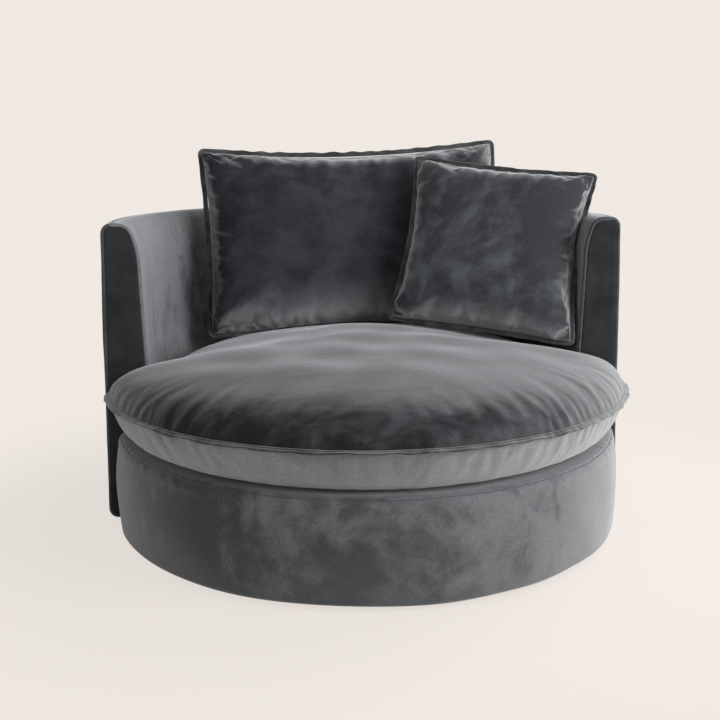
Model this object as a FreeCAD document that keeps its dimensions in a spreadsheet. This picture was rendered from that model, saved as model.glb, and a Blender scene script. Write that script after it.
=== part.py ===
import FreeCAD, Part
import math
import os

import Sketcher
from FreeCAD import Placement, Rotation, Vector

# Cuddle chair: a round tub armchair that swivels on a hidden plinth, with a T-shaped seat cushion,
# a back cushion and a scatter cushion. Millimetres and degrees. The origin is on the swivel axis at
# the floor, +Z is up and the open front looks along -Y. Angles round the chair count from +Y.
dimensions = (
    # overall
    ("FloorGap", 12, "floor to the underside of the drum"),
    ("CoverThickness", 2, "velvet with its backing"),
    ("FitGap", 0.5, "air between pieces that lift off and what they stand on"),
    # hidden plinth and turntable
    ("GlideRadius", 20, "felt glide"),
    ("GlideThickness", 4, "felt glide"),
    ("GlideCount", 8, "felt glides under the plinth"),
    ("GlideInset", 35, "rim of the plinth to the centre of a glide"),
    ("PlinthRadius", 300, "round board on the floor"),
    ("PlinthThickness", 18, "round board on the floor"),
    ("PlateRadius", 155, "pressed steel turntable plates"),
    ("PlateHole", 40, "radius of the hole in the plates"),
    ("PlateThickness", 3, "pressed steel turntable plates"),
    ("RaceRadius", 120, "circle of ball centres"),
    ("RaceWidth", 22, "ring that holds the ball groove"),
    ("RaceSlit", 2, "air between the two races"),
    ("BallRadius", 4, "bearing ball"),
    ("BallClearance", 0.05, "ball to groove"),
    ("BallCount", 24, "bearing balls"),
    ("CageThickness", 1.2, "plastic ring that spaces the balls"),
    ("RaceHeight", 5, "race above its plate"),
    ("ScrewCount", 6, "screws in each plate"),
    ("ScrewCircle", 142, "radius of the screw circle"),
    ("ScrewRadius", 2.5, "shank"),
    ("ScrewHeadRadius", 5, "pan head"),
    ("ScrewHeadHeight", 3, "pan head"),
    ("ScrewDepth", 14, "screw in the board"),
    ("ScrewClearance", 0.3, "screw in its plate"),
    # drum frame
    ("BoardThickness", 18, "plywood of the bottom board and the deck ring"),
    ("FrameRadius", 590, "rim of the drum's boards"),
    ("HoopThickness", 4, "thin plywood bent round the drum"),
    ("BoardHole", 60, "radius of the hole in the bottom board"),
    ("DeckHeight", 208, "floor to the top of the deck ring"),
    ("DeckRingInner", 440, "inner radius of the deck ring"),
    ("BlockCount", 12, "upright blocks between board and ring"),
    ("BlockDepth", 40, "block, radially"),
    ("BlockWidth", 60, "block, round the drum"),
    ("BlockGap", 1, "block to the hoop"),
    ("DustCoverThickness", 1.5, "cloth under the bottom board"),
    # sprung deck
    ("StrapWidth", 50, "elastic webbing"),
    ("StrapThickness", 1.5, "elastic webbing"),
    ("StrapPitch", 100, "strap to strap"),
    ("StrapCount", 9, "straps each way"),
    ("DeckRadius", 527, "deck cloth inside the shell"),
    ("DeckTop", 238, "floor to the top of the deck cloth"),
    # drum upholstery
    ("DrumFootRadius", 616, "drum cover at the foot"),
    ("DrumShoulderRadius", 618, "drum cover where the edge begins to round"),
    ("DrumBulge", 8, "swell of the drum's side between foot and shoulder"),
    ("DrumSeamRadius", 611, "seam round the drum's edge"),
    ("DrumSeamHeight", 233, "seam round the drum's edge"),
    ("DrumEdgeRadius", 598, "where the rounded edge meets the flat top"),
    ("DrumEdgeCurve", 40, "radius of the rounded edge"),
    # tub shell of back and arms
    ("ShellRadius", 646, "outside of the shell"),
    ("ShellHeight", 750, "floor to the top of the shell"),
    ("ShellFoot", 20, "floor to the underside of the shell"),
    ("ArmEndAngle", 94.4, "from the middle of the back to the face of each arm"),
    ("TopCorner", 25, "outer top corner radius"),
    ("FootCorner", 24, "outer bottom corner radius"),
    ("RollInset", 42, "outside of the shell to the top of the inner roll"),
    ("RollWidth", 52, "inner roll, radially"),
    ("RollDrop", 110, "inner roll, in height"),
    ("RollCurve", 38, "tight part of the inner roll"),
    ("ShellThicknessAtDeck", 116, "whole wall at the deck"),
    ("RailThickness", 24, "frame rails and posts, radially"),
    ("BottomRailFoot", 46, "floor to the bottom rail"),
    ("BottomRailHeight", 60, "bottom rail"),
    ("TopRailHeight", 24, "top rail"),
    ("FrameTop", 704, "floor to the top of the frame"),
    ("PostCount", 9, "posts round the back"),
    ("PostWidth", 45, "post, round the back"),
    ("PostSpread", 172, "angle from the first post to the last"),
    ("PanelThickness", 3, "hardboard outside the frame"),
    ("PostGap", 0.6, "flat post to the round panel"),
    ("BoltCount", 3, "bolts from the middle to one side, the middle one included"),
    ("BoltRadius", 4, "bolt from a drum block to the bottom rail"),
    ("BoltHeadRadius", 7, "bolt head"),
    ("BoltHeadHeight", 5, "bolt head"),
    ("BoltGrip", 16, "bolt in the rail"),
    ("ArmBoardAngle", 1.8, "plywood end of each arm, 18 mm thick"),
    ("ArmPadAngle", 0.6, "foam on the arm's end"),
    ("ArmCoverAngle", 0.2, "velvet on the arm's end"),
    # seat cushion
    ("PipingWidth", 10, "flat self piping round each cushion"),
    ("PipingThickness", 4, "flat self piping"),
    ("SeamTuck", 1, "edge of a cushion's panels inside its piping"),
    ("SeatRadius", 650, "edge of the piping in front of the arms"),
    ("SeatRearRadius", 527, "edge of the piping inside the shell"),
    ("SeatNotchGap", 3, "piping to the face of each arm"),
    ("SeatSeamHeight", 342, "floor to the piped seam"),
    ("SeatCrown", 120, "seam to the top of the crown"),
    ("SeatWrap", 22, "fibre round the foam core"),
    ("SeatZipAngle", 70, "zip round the rear of the seat cushion"),
    # back cushion
    ("BackWidth", 824, "piping to piping"),
    ("BackTall", 492, "piping to piping"),
    ("BackDepth", 206, "at the crown"),
    ("BackLean", 13, "angle from upright"),
    ("BackPlace", 338, "swivel axis to the middle of the back cushion"),
    ("BackTurn", 2, "turned about the vertical, its left end forwards"),
    ("BackRoll", 0.8, "turned in its own plane"),
    ("BackRise", 681, "floor to the middle of the back cushion"),
    ("BackZipLength", 600, "zip in the lower edge"),
    # scatter cushion
    ("ScatterWidth", 482, "piping to piping"),
    ("ScatterTall", 462, "piping to piping, a little squashed by its lean"),
    ("ScatterDepth", 150, "at the crown"),
    ("ScatterLean", 20, "angle from upright"),
    ("ScatterTurn", 28, "turned towards the middle of the chair"),
    ("ScatterRoll", 5, "turned in its own plane"),
    ("ScatterSide", 330, "middle of the cushion, to the sitter's left"),
    ("ScatterPlace", 88, "middle of the cushion, behind the swivel axis"),
    ("ScatterRise", 677, "floor to the middle of the cushion"),
    ("ScatterZipLength", 380, "zip in the lower edge"),
)

# Share of the crown's height above the seam, and how far the slice there is drawn in at the front and rear (mm)
seatCrownSlices = (
    (0.0, 0, 0),
    (0.22, 6, 8),
    (0.44, 30, 50),
    (0.61, 72, 120),
    (0.76, 140, 215),
    (0.88, 230, 300),
    (0.96, 330, 380),
    (1.0, 420, 380),
)
# The same below the seam, as shares of the depth down to the underside
seatUnderSlices = ((0.0, 0, 0), (0.27, 7, 4), (0.63, 22, 12), (0.88, 44, 24), (1.0, 76, 40))
# How far the notches at the arms open for each millimetre that the front is drawn in
notchWidening = 0.12
# Share of half the depth, share of half the width drawn in, corner radius and inward bow of the sides (mm)
pillowSlices = (
    (0.0, 0.0, 14, 7),
    (0.34, 0.035, 24, 5),
    (0.62, 0.13, 44, 3),
    (0.82, 0.29, 62, -3),
    (0.94, 0.5, 60, -6),
    (1.0, 0.74, 30, -4),
)

document = FreeCAD.newDocument("CuddleChair")
sheet = document.addObject("Spreadsheet::Sheet", "Sizes")
for row, (alias, number, meaning) in enumerate(dimensions, start=1):
    sheet.set("A%d" % row, alias)
    sheet.set("B%d" % row, str(number))
    sheet.set("C%d" % row, meaning)
    sheet.setAlias("B%d" % row, alias)
document.recompute()


class Size:
    # A size that carries both its number and the spreadsheet formula that it comes from
    def __init__(self, formula, number):
        self.formula = formula
        self.number = float(number)

    def __add__(self, other):
        other = asSize(other)
        return Size("(%s + %s)" % (self.formula, other.formula), self.number + other.number)

    def __sub__(self, other):
        other = asSize(other)
        return Size("(%s - %s)" % (self.formula, other.formula), self.number - other.number)

    def __mul__(self, other):
        other = asSize(other)
        return Size("(%s * %s)" % (self.formula, other.formula), self.number * other.number)

    def __truediv__(self, other):
        other = asSize(other)
        return Size("(%s / %s)" % (self.formula, other.formula), self.number / other.number)


def asSize(value):
    if isinstance(value, Size):
        return value
    return Size(repr(float(value)), value)


def root(size):
    return Size("sqrt(%s)" % size.formula, math.sqrt(size.number))


class Sheet:
    # Reads each driving dimension by its name
    def __getattr__(self, alias):
        return Size("Sizes." + alias, sheet.get(alias))


size = Sheet()
pieces = []


def newBody(label):
    body = document.addObject("PartDesign::Body", label)
    body.Label = label
    body.AllowCompound = True
    pieces.append(body)
    return body


def originPart(body, role):
    return [part for part in body.Origin.OriginFeatures if part.Role == role][0]


def arcBetween(start, finish, radius, turn):
    # The arc of under a half circle from start to finish; turn is 1 for leftwards, -1 for rightwards
    chord = finish - start
    half = chord.Length / 2
    across = Vector(-chord.y, chord.x, 0).normalize()
    centre = (start + finish) / 2 + across * (turn * math.sqrt(radius * radius - half * half))
    first, last = (start, finish) if turn > 0 else (finish, start)
    angles = [math.atan2(point.y - centre.y, point.x - centre.x) for point in (first, last)]
    if angles[1] < angles[0]:
        angles[1] += 2 * math.pi
    return Part.ArcOfCircle(Part.Circle(centre, Vector(0, 0, 1), radius), angles[0], angles[1])


def bind(sketch, kind, geometry, point, target):
    # Ties one coordinate of a sketch point to its formula, counted from the sketch's origin
    if target.number == 0:
        axis = -2 if kind == "DistanceX" else -1
        sketch.addConstraint(Sketcher.Constraint("PointOnObject", geometry, point, axis))
        return
    index = sketch.addConstraint(Sketcher.Constraint(kind, -1, 1, geometry, point, target.number))
    sketch.setExpression("Constraints[%d]" % index, target.formula)


def drawOutline(body, role, corners):
    # A closed outline through the corners; a third item (radius, turn) bends the edge that starts there
    sketch = body.newObject("Sketcher::SketchObject", body.Label + "_outline")
    sketch.AttachmentSupport = [(originPart(body, role), "")]
    sketch.MapMode = "FlatFace"
    corners = [(asSize(corner[0]), asSize(corner[1])) + tuple(corner[2:]) for corner in corners]
    points = [Vector(corner[0].number, corner[1].number, 0) for corner in corners]
    ends = []
    for index, corner in enumerate(corners):
        start, finish = points[index], points[(index + 1) % len(points)]
        if len(corner) == 2:
            sketch.addGeometry(Part.LineSegment(start, finish), False)
            ends.append((1, 2))
        else:
            radius, turn = corner[2]
            sketch.addGeometry(arcBetween(start, finish, radius.number, turn), False)
            ends.append((1, 2) if turn > 0 else (2, 1))
    for index in range(len(corners)):
        following = (index + 1) % len(corners)
        sketch.addConstraint(
            Sketcher.Constraint("Coincident", index, ends[index][1], following, ends[following][0]))
    for index, corner in enumerate(corners):
        bind(sketch, "DistanceX", index, ends[index][0], corner[0])
        bind(sketch, "DistanceY", index, ends[index][0], corner[1])
        if len(corner) == 3:
            radius = corner[2][0]
            constraint = sketch.addConstraint(Sketcher.Constraint("Radius", index, radius.number))
            sketch.setExpression("Constraints[%d]" % constraint, radius.formula)
    return sketch


def drawCircle(body, role, centreX, centreY, radius):
    sketch = body.newObject("Sketcher::SketchObject", body.Label + "_circle")
    sketch.AttachmentSupport = [(originPart(body, role), "")]
    sketch.MapMode = "FlatFace"
    centreX, centreY = asSize(centreX), asSize(centreY)
    centre = Vector(centreX.number, centreY.number, 0)
    sketch.addGeometry(Part.Circle(centre, Vector(0, 0, 1), radius.number), False)
    bind(sketch, "DistanceX", 0, 3, centreX)
    bind(sketch, "DistanceY", 0, 3, centreY)
    constraint = sketch.addConstraint(Sketcher.Constraint("Radius", 0, radius.number))
    sketch.setExpression("Constraints[%d]" % constraint, radius.formula)
    return sketch


def turnAboutAxis(body, angle):
    # Turns the finished body about the swivel axis
    body.Placement = Placement(Vector(0, 0, 0), Rotation(Vector(0, 0, 1), angle.number))
    body.setExpression("Placement.Rotation.Angle", angle.formula)


def revolve(body, sketch, span):
    feature = body.newObject("PartDesign::Revolution", body.Label + "_revolution")
    feature.Profile = sketch
    feature.ReferenceAxis = (sketch, ["V_Axis"])
    feature.Midplane = True
    feature.setExpression("Angle", span.formula)
    return feature


def ringPiece(label, corners, span=None, middle=None):
    # A piece of revolution: corners are (radius, height), span its angle and middle where its centre lies
    body = newBody(label)
    revolve(body, drawOutline(body, "YZ_Plane", corners), asSize(360) if span is None else span)
    if middle is not None:
        turnAboutAxis(body, middle)
    return body


def ringBlock(inner, outer, bottom, top):
    return ((inner, bottom), (outer, bottom), (outer, top), (inner, top))


def pad(body, sketch, length, rise=None):
    feature = body.newObject("PartDesign::Pad", body.Label + "_pad")
    feature.Profile = sketch
    feature.setExpression("Length", asSize(length).formula)
    if rise is not None:
        sketch.setExpression("AttachmentOffset.Base.z", asSize(rise).formula)
    return feature


def polar(body, features, sketch, count, angle, backwards=False):
    # Copies of the features round the swivel axis; the last pattern made is the body's tip
    pattern = body.newObject("PartDesign::PolarPattern", body.Label + "_pattern")
    pattern.Originals = features
    pattern.Axis = (sketch, ["N_Axis"])
    pattern.Reversed = backwards
    pattern.setExpression("Angle", asSize(angle).formula)
    pattern.setExpression("Occurrences", asSize(count).formula)
    body.Tip = pattern
    return pattern


def fullCircle(body, features, sketch, count):
    return polar(body, features, sketch, count, 360)


def cutHole(body, sketch, length, rise):
    # A round hole up from the given height, checked by the volume that it takes away
    before = body.Shape.Volume
    feature = body.newObject("PartDesign::Pocket", body.Label + "_hole")
    feature.Profile = sketch
    feature.Reversed = True
    feature.setExpression("Length", asSize(length).formula)
    sketch.setExpression("AttachmentOffset.Base.z", asSize(rise).formula)
    document.recompute()
    if not body.Shape.Volume < before:
        raise ValueError("hole cuts nothing in " + body.Label)
    return feature


def screwGroup(label, count, circle, shankFoot, shankLength, headFoot):
    # Identical screws on a circle, each a shank and a pan head
    body = newBody(label)
    shankSketch = drawCircle(body, "XY_Plane", 0, circle, size.ScrewRadius)
    shank = pad(body, shankSketch, shankLength, shankFoot)
    head = pad(body, drawCircle(body, "XY_Plane", 0, circle, size.ScrewHeadRadius), size.ScrewHeadHeight, headFoot)
    document.recompute()
    fullCircle(body, [shank, head], shankSketch, count)


# Heights and radii that several pieces share
cover = size.CoverThickness
plinthTop = size.GlideThickness + size.PlinthThickness
lowerRaceTop = plinthTop + size.PlateThickness + size.RaceHeight
ballCentre = lowerRaceTop + size.RaceSlit / 2
upperRaceFoot = lowerRaceTop + size.RaceSlit
upperPlateFoot = upperRaceFoot + size.RaceHeight
boardFoot = upperPlateFoot + size.PlateThickness
boardTop = boardFoot + size.BoardThickness
ringFoot = size.DeckHeight - size.BoardThickness
hoopOuter = size.FrameRadius + size.HoopThickness
drumFoot = size.FloorGap + cover
strapTop = size.DeckHeight + size.StrapThickness * 2
railOuter = hoopOuter + size.RailThickness
panelOuter = railOuter + size.PanelThickness
railTop = size.BottomRailFoot + size.BottomRailHeight
topRailFoot = size.FrameTop - size.TopRailHeight
deckWallRadius = size.ShellRadius - size.ShellThicknessAtDeck
rollTopRadius = size.ShellRadius - size.RollInset
frontSpan = asSize(360) - size.ArmEndAngle * 2
coverSpan = (size.ArmEndAngle - size.ArmCoverAngle) * 2
frameSpan = coverSpan - (size.ArmPadAngle + size.ArmBoardAngle) * 2
boltHeight = size.BottomRailFoot + size.BottomRailHeight / 2


# Plinth and turntable
def makePlinth():
    glides = newBody("plinth_glides")
    sketch = drawCircle(glides, "XY_Plane", 0, size.PlinthRadius - size.GlideInset, size.GlideRadius)
    fullCircle(glides, [pad(glides, sketch, size.GlideThickness)], sketch, size.GlideCount)
    board = ringPiece(
        "plinth_board", ringBlock(size.PlateHole, size.PlinthRadius, size.GlideThickness, plinthTop))
    document.recompute()
    sketch = drawCircle(board, "XY_Plane", 0, size.ScrewCircle, size.ScrewRadius)
    hole = cutHole(board, sketch, size.ScrewDepth, plinthTop - size.ScrewDepth)
    fullCircle(board, [hole], sketch, size.ScrewCount)


def raceCorners(plateFar, plateNear, raceEdge, ballTurn):
    # Half section of a plate with its raised race; the groove is an arc about the ball's centre
    grooveRadius = size.BallRadius + size.BallClearance
    halfMouth = root(grooveRadius * grooveRadius - size.RaceSlit * size.RaceSlit / 4)
    raceInner = size.RaceRadius - size.RaceWidth / 2
    raceOuter = size.RaceRadius + size.RaceWidth / 2
    return (
        (size.PlateHole, plateFar),
        (size.PlateHole, plateNear),
        (raceInner, plateNear),
        (raceInner, raceEdge),
        (size.RaceRadius - halfMouth, raceEdge, (grooveRadius, ballTurn)),
        (size.RaceRadius + halfMouth, raceEdge),
        (raceOuter, raceEdge),
        (raceOuter, plateNear),
        (size.PlateRadius, plateNear),
        (size.PlateRadius, plateFar),
    )


def makePlate(label, corners, foot):
    plate = ringPiece(label, corners)
    document.recompute()
    sketch = drawCircle(plate, "XY_Plane", 0, size.ScrewCircle, size.ScrewRadius + size.ScrewClearance)
    hole = cutHole(plate, sketch, size.PlateThickness, foot)
    fullCircle(plate, [hole], sketch, size.ScrewCount)


def makeTurntable():
    lowerPlateTop = plinthTop + size.PlateThickness
    makePlate("swivel_lower_plate", raceCorners(plinthTop, lowerPlateTop, lowerRaceTop, 1), plinthTop)
    makePlate("swivel_upper_plate", raceCorners(boardFoot, upperPlateFoot, upperRaceFoot, -1), upperPlateFoot)
    screwGroup("lower_plate_screws", size.ScrewCount, size.ScrewCircle,
               plinthTop - size.ScrewDepth, size.ScrewDepth + size.PlateThickness, lowerPlateTop)
    screwGroup("upper_plate_screws", size.ScrewCount, size.ScrewCircle,
               upperPlateFoot, size.ScrewDepth + size.PlateThickness, upperPlateFoot - size.ScrewHeadHeight)


def makeBallRing():
    # The cage turns at half the chair's speed between the two races
    cageInner = size.RaceRadius - size.RaceWidth / 2
    cageOuter = size.RaceRadius + size.RaceWidth / 2
    cageFoot = ballCentre - size.CageThickness / 2
    cage = ringPiece("bearing_cage", ringBlock(cageInner, cageOuter, cageFoot, cageFoot + size.CageThickness))
    document.recompute()
    sketch = drawCircle(cage, "XY_Plane", 0, size.RaceRadius, size.BallRadius + size.BallClearance)
    hole = cutHole(cage, sketch, size.CageThickness, cageFoot)
    fullCircle(cage, [hole], sketch, size.BallCount)

    balls = newBody("bearing_balls")
    pole = size.BallRadius
    half = drawOutline(balls, "YZ_Plane", (
        (size.RaceRadius, ballCentre - pole, (size.BallRadius, 1)),
        (size.RaceRadius + pole, ballCentre, (size.BallRadius, 1)),
        (size.RaceRadius, ballCentre + pole),
    ))
    ball = balls.newObject("PartDesign::Revolution", "bearing_balls_revolution")
    ball.Profile = half
    ball.ReferenceAxis = (half, ["Edge3"])
    ball.Angle = 360
    document.recompute()
    spacing = drawCircle(balls, "XY_Plane", 0, size.RaceRadius, size.BallRadius)
    fullCircle(balls, [ball], spacing, size.BallCount)


# Drum frame: two boards, upright blocks and a thin hoop
def makeDrumFrame():
    board = ringPiece("base_bottom_board", ringBlock(size.BoardHole, size.FrameRadius, boardFoot, boardTop))
    document.recompute()
    sketch = drawCircle(board, "XY_Plane", 0, size.ScrewCircle, size.ScrewRadius)
    hole = cutHole(board, sketch, size.ScrewDepth, boardFoot)
    fullCircle(board, [hole], sketch, size.ScrewCount)

    blocks = newBody("base_blocks")
    outer = size.FrameRadius - size.BlockGap
    side = size.BlockWidth / 2
    outline = drawOutline(blocks, "XY_Plane", (
        (asSize(0) - side, outer - size.BlockDepth),
        (side, outer - size.BlockDepth),
        (side, outer),
        (asSize(0) - side, outer),
    ))
    block = pad(blocks, outline, ringFoot - boardTop, boardTop)
    document.recompute()
    bore = boltHole(blocks)
    fullCircle(blocks, [block, bore], outline, size.BlockCount)

    ringPiece("base_deck_ring", ringBlock(size.DeckRingInner, size.FrameRadius, ringFoot, size.DeckHeight))
    hoop = ringPiece("base_hoop_panel", ringBlock(size.FrameRadius, hoopOuter, drumFoot, size.DeckHeight))
    document.recompute()
    boltHolesAround(hoop)
    ringPiece("dust_cover", ringBlock(
        size.PlinthRadius, size.FrameRadius - size.BlockGap, boardFoot - size.DustCoverThickness, boardFoot))


def boltHole(body):
    # A hole along +Y from the middle of the drum outwards
    before = body.Shape.Volume
    sketch = drawCircle(body, "XZ_Plane", 0, boltHeight, size.BoltRadius)
    feature = body.newObject("PartDesign::Pocket", body.Label + "_bolt_hole")
    feature.Profile = sketch
    feature.setExpression("Length", (railOuter - size.RailThickness + size.BoltGrip).formula)
    document.recompute()
    if not body.Shape.Volume < before:
        raise ValueError("bolt hole cuts nothing in " + body.Label)
    return feature


def bothWays(body, features, sketch):
    # Copies at each block from the middle of the back to both sides
    reach = asSize(360) / size.BlockCount * (size.BoltCount - 1)
    polar(body, features, sketch, size.BoltCount, reach)
    polar(body, features, sketch, size.BoltCount, reach, backwards=True)


def boltHolesAround(body):
    hole = boltHole(body)
    plan = drawCircle(body, "XY_Plane", 0, size.FrameRadius, size.BoltRadius)
    bothWays(body, [hole], plan)


def makeFrameBolts():
    bolts = newBody("back_frame_bolts")
    blockInner = size.FrameRadius - size.BlockGap - size.BlockDepth
    tip = hoopOuter + size.BoltGrip
    shankSketch = drawOutline(bolts, "YZ_Plane", (
        (blockInner - size.BoltHeadHeight, boltHeight),
        (tip, boltHeight),
        (tip, boltHeight + size.BoltRadius),
        (blockInner, boltHeight + size.BoltRadius),
        (blockInner, boltHeight + size.BoltHeadRadius),
        (blockInner - size.BoltHeadHeight, boltHeight + size.BoltHeadRadius),
    ))
    bolt = bolts.newObject("PartDesign::Revolution", "back_frame_bolts_revolution")
    bolt.Profile = shankSketch
    bolt.ReferenceAxis = (shankSketch, ["Edge1"])
    bolt.Angle = 360
    document.recompute()
    plan = drawCircle(bolts, "XY_Plane", 0, size.FrameRadius, size.BoltRadius)
    bothWays(bolts, [bolt], plan)


# Sprung deck: webbing both ways, a felt pad and its cloth
def makeStraps(label, role, foot):
    # Straps side by side along one axis, cut to the round deck
    body = newBody(label)
    reach = size.DeckRadius
    firstEdge = size.StrapPitch * (size.StrapCount - 1) / 2 + size.StrapWidth / 2
    low, high = asSize(0) - firstEdge, asSize(0) - firstEdge + size.StrapWidth
    if role == "X":
        corners = ((asSize(0) - reach, low), (reach, low), (reach, high), (asSize(0) - reach, high))
    else:
        corners = ((low, asSize(0) - reach), (high, asSize(0) - reach), (high, reach), (low, reach))
    sketch = drawOutline(body, "XY_Plane", corners)
    strap = pad(body, sketch, size.StrapThickness, foot)
    document.recompute()
    pattern = body.newObject("PartDesign::LinearPattern", label + "_pattern")
    pattern.Originals = [strap]
    pattern.Direction = (sketch, ["V_Axis" if role == "X" else "H_Axis"])
    pattern.setExpression("Length", (size.StrapPitch * (size.StrapCount - 1)).formula)
    pattern.setExpression("Occurrences", size.StrapCount.formula)
    body.Tip = pattern
    document.recompute()
    before = body.Shape.Volume
    trim = drawCircle(body, "XY_Plane", 0, 0, size.DeckRadius - size.FitGap)
    outer = trim.addGeometry(Part.Circle(Vector(0, 0, 0), Vector(0, 0, 1), reach.number * 2), False)
    trim.addConstraint(Sketcher.Constraint("Coincident", outer, 3, -1, 1))
    constraint = trim.addConstraint(Sketcher.Constraint("Radius", outer, reach.number * 2))
    trim.setExpression("Constraints[%d]" % constraint, (reach * 2).formula)
    cut = body.newObject("PartDesign::Pocket", label + "_trim")
    cut.Profile = trim
    cut.Midplane = True
    cut.setExpression("Length", (strapTop * 4).formula)
    document.recompute()
    if not body.Shape.Volume < before:
        raise ValueError("trim cuts nothing in " + label)


def makeDeck():
    makeStraps("deck_webbing_lengthwise", "Y", size.DeckHeight)
    makeStraps("deck_webbing_crosswise", "X", size.DeckHeight + size.StrapThickness)
    for label, foot, top in (("deck_pad", strapTop, size.DeckTop - cover),
                             ("deck_cover", size.DeckTop - cover, size.DeckTop)):
        body = newBody(label)
        pad(body, drawCircle(body, "XY_Plane", 0, 0, size.DeckRadius), top - foot, foot)


# Drum upholstery on the open front, from one arm's face round to the other
def bulgeRadius(width, rise):
    # Radius of the arc over the chord from foot to shoulder with the swell as its height
    chordSquared = width * width + rise * rise
    return (chordSquared / 4 + size.DrumBulge * size.DrumBulge) / (size.DrumBulge * 2)


def makeDrumUpholstery():
    swell = bulgeRadius(size.DrumShoulderRadius - size.DrumFootRadius, size.DeckHeight - drumFoot)
    edge = size.DrumEdgeCurve
    footOut = (size.DrumFootRadius, size.FloorGap, (swell, 1))
    shoulderOut = (size.DrumShoulderRadius, size.DeckHeight, (edge, 1))
    seamOut = (size.DrumSeamRadius, size.DrumSeamHeight)
    seamIn = (size.DrumSeamRadius - cover, size.DrumSeamHeight - cover)
    shoulderIn = (size.DrumShoulderRadius - cover, size.DeckHeight)
    footIn = (size.DrumFootRadius - cover, drumFoot)
    edgeOut = (size.DrumEdgeRadius, size.DeckTop)
    edgeIn = (size.DrumEdgeRadius, size.DeckTop - cover)
    middle = asSize(180)
    ringPiece("base_front_foam", (
        (hoopOuter, drumFoot), footIn + ((swell, 1),), shoulderIn, (hoopOuter, size.DeckHeight)),
        frontSpan, middle)
    ringPiece("base_edge_foam", (
        (deckWallRadius, size.DeckHeight), shoulderIn + ((edge, 1),), seamIn + ((edge, 1),), edgeIn,
        (deckWallRadius, size.DeckTop - cover)),
        frontSpan, middle)
    ringPiece("base_side_cover", (
        (size.FrameRadius, size.FloorGap), footOut, shoulderOut, seamOut, seamIn + ((edge, -1),),
        shoulderIn + ((swell, -1),), footIn, (size.FrameRadius, drumFoot)),
        frontSpan, middle)
    ringPiece("base_top_cover", (
        (deckWallRadius, size.DeckTop - cover), edgeIn + ((edge, -1),), seamIn, seamOut + ((edge, 1),), edgeOut,
        (deckWallRadius, size.DeckTop)),
        frontSpan, middle)


# Shell frame
def makeShellFrame():
    rail = ringPiece("back_bottom_rail", ringBlock(hoopOuter, railOuter, size.BottomRailFoot, railTop), frameSpan)
    document.recompute()
    boltHolesAround(rail)
    ringPiece("back_top_rail", ringBlock(hoopOuter, railOuter, topRailFoot, size.FrameTop), frameSpan)
    ringPiece("back_inner_panel", ringBlock(size.FrameRadius, hoopOuter, size.DeckHeight, size.FrameTop), frameSpan)
    ringPiece("back_outer_panel", ringBlock(railOuter, panelOuter, size.BottomRailFoot, size.FrameTop), frameSpan)
    posts = newBody("back_posts")
    side = size.PostWidth / 2
    outline = drawOutline(posts, "XY_Plane", (
        (asSize(0) - side, hoopOuter),
        (side, hoopOuter),
        (side, railOuter - size.PostGap),
        (asSize(0) - side, railOuter - size.PostGap),
    ))
    post = pad(posts, outline, topRailFoot - railTop, railTop)
    document.recompute()
    polar(posts, [post], outline, size.PostCount, size.PostSpread)
    turnAboutAxis(posts, asSize(0) - size.PostSpread / 2)


# Shell section: the wall's outline in radius and height, drawn in by the given depth
def rollCorners(depth):
    # The inner roll: a tight arc from the flat top, then a wide one down to the wall
    tight = size.RollCurve
    across = size.RollWidth - tight
    down = size.RollDrop - tight
    wide = (size.RollWidth * size.RollWidth + down * down - tight * tight) / (across * 2)
    apart = wide - tight
    wideCentreRadius = rollTopRadius - size.RollWidth + wide
    wideCentreHeight = size.ShellHeight - size.RollDrop
    share = (wide - depth) / apart
    meetRadius = wideCentreRadius - (wide - size.RollWidth) * share
    meetHeight = wideCentreHeight + down * share
    return (
        (rollTopRadius, size.ShellHeight - depth, (tight - depth, 1)),
        (meetRadius, meetHeight, (wide - depth, 1)),
        (rollTopRadius - size.RollWidth + depth, wideCentreHeight),
    )


def reversedRoll(depth):
    # The same roll walked from the wall up to the flat top
    top, meet, wall = rollCorners(depth)
    return (wall + ((meet[2][0], -1),), meet[:2] + ((top[2][0], -1),), top[:2])


def outerCorners(depth):
    # From the underside of the shell round its foot, up the outside and over the top corner
    outer = size.ShellRadius
    return (
        (outer - size.FootCorner, size.ShellFoot + depth, (size.FootCorner - depth, 1)),
        (outer - depth, size.ShellFoot + size.FootCorner),
        (outer - depth, size.ShellHeight - size.TopCorner, (size.TopCorner - depth, 1)),
        (outer - size.TopCorner, size.ShellHeight - depth),
    )


def wholeSection(depth):
    # The arm's end face, from the drum's hoop to the outside and back to the deck
    return ((hoopOuter, size.ShellFoot + depth),) + outerCorners(depth) + rollCorners(depth) + (
        (deckWallRadius + depth, size.DeckHeight),
        (hoopOuter, size.DeckHeight),
    )


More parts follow.
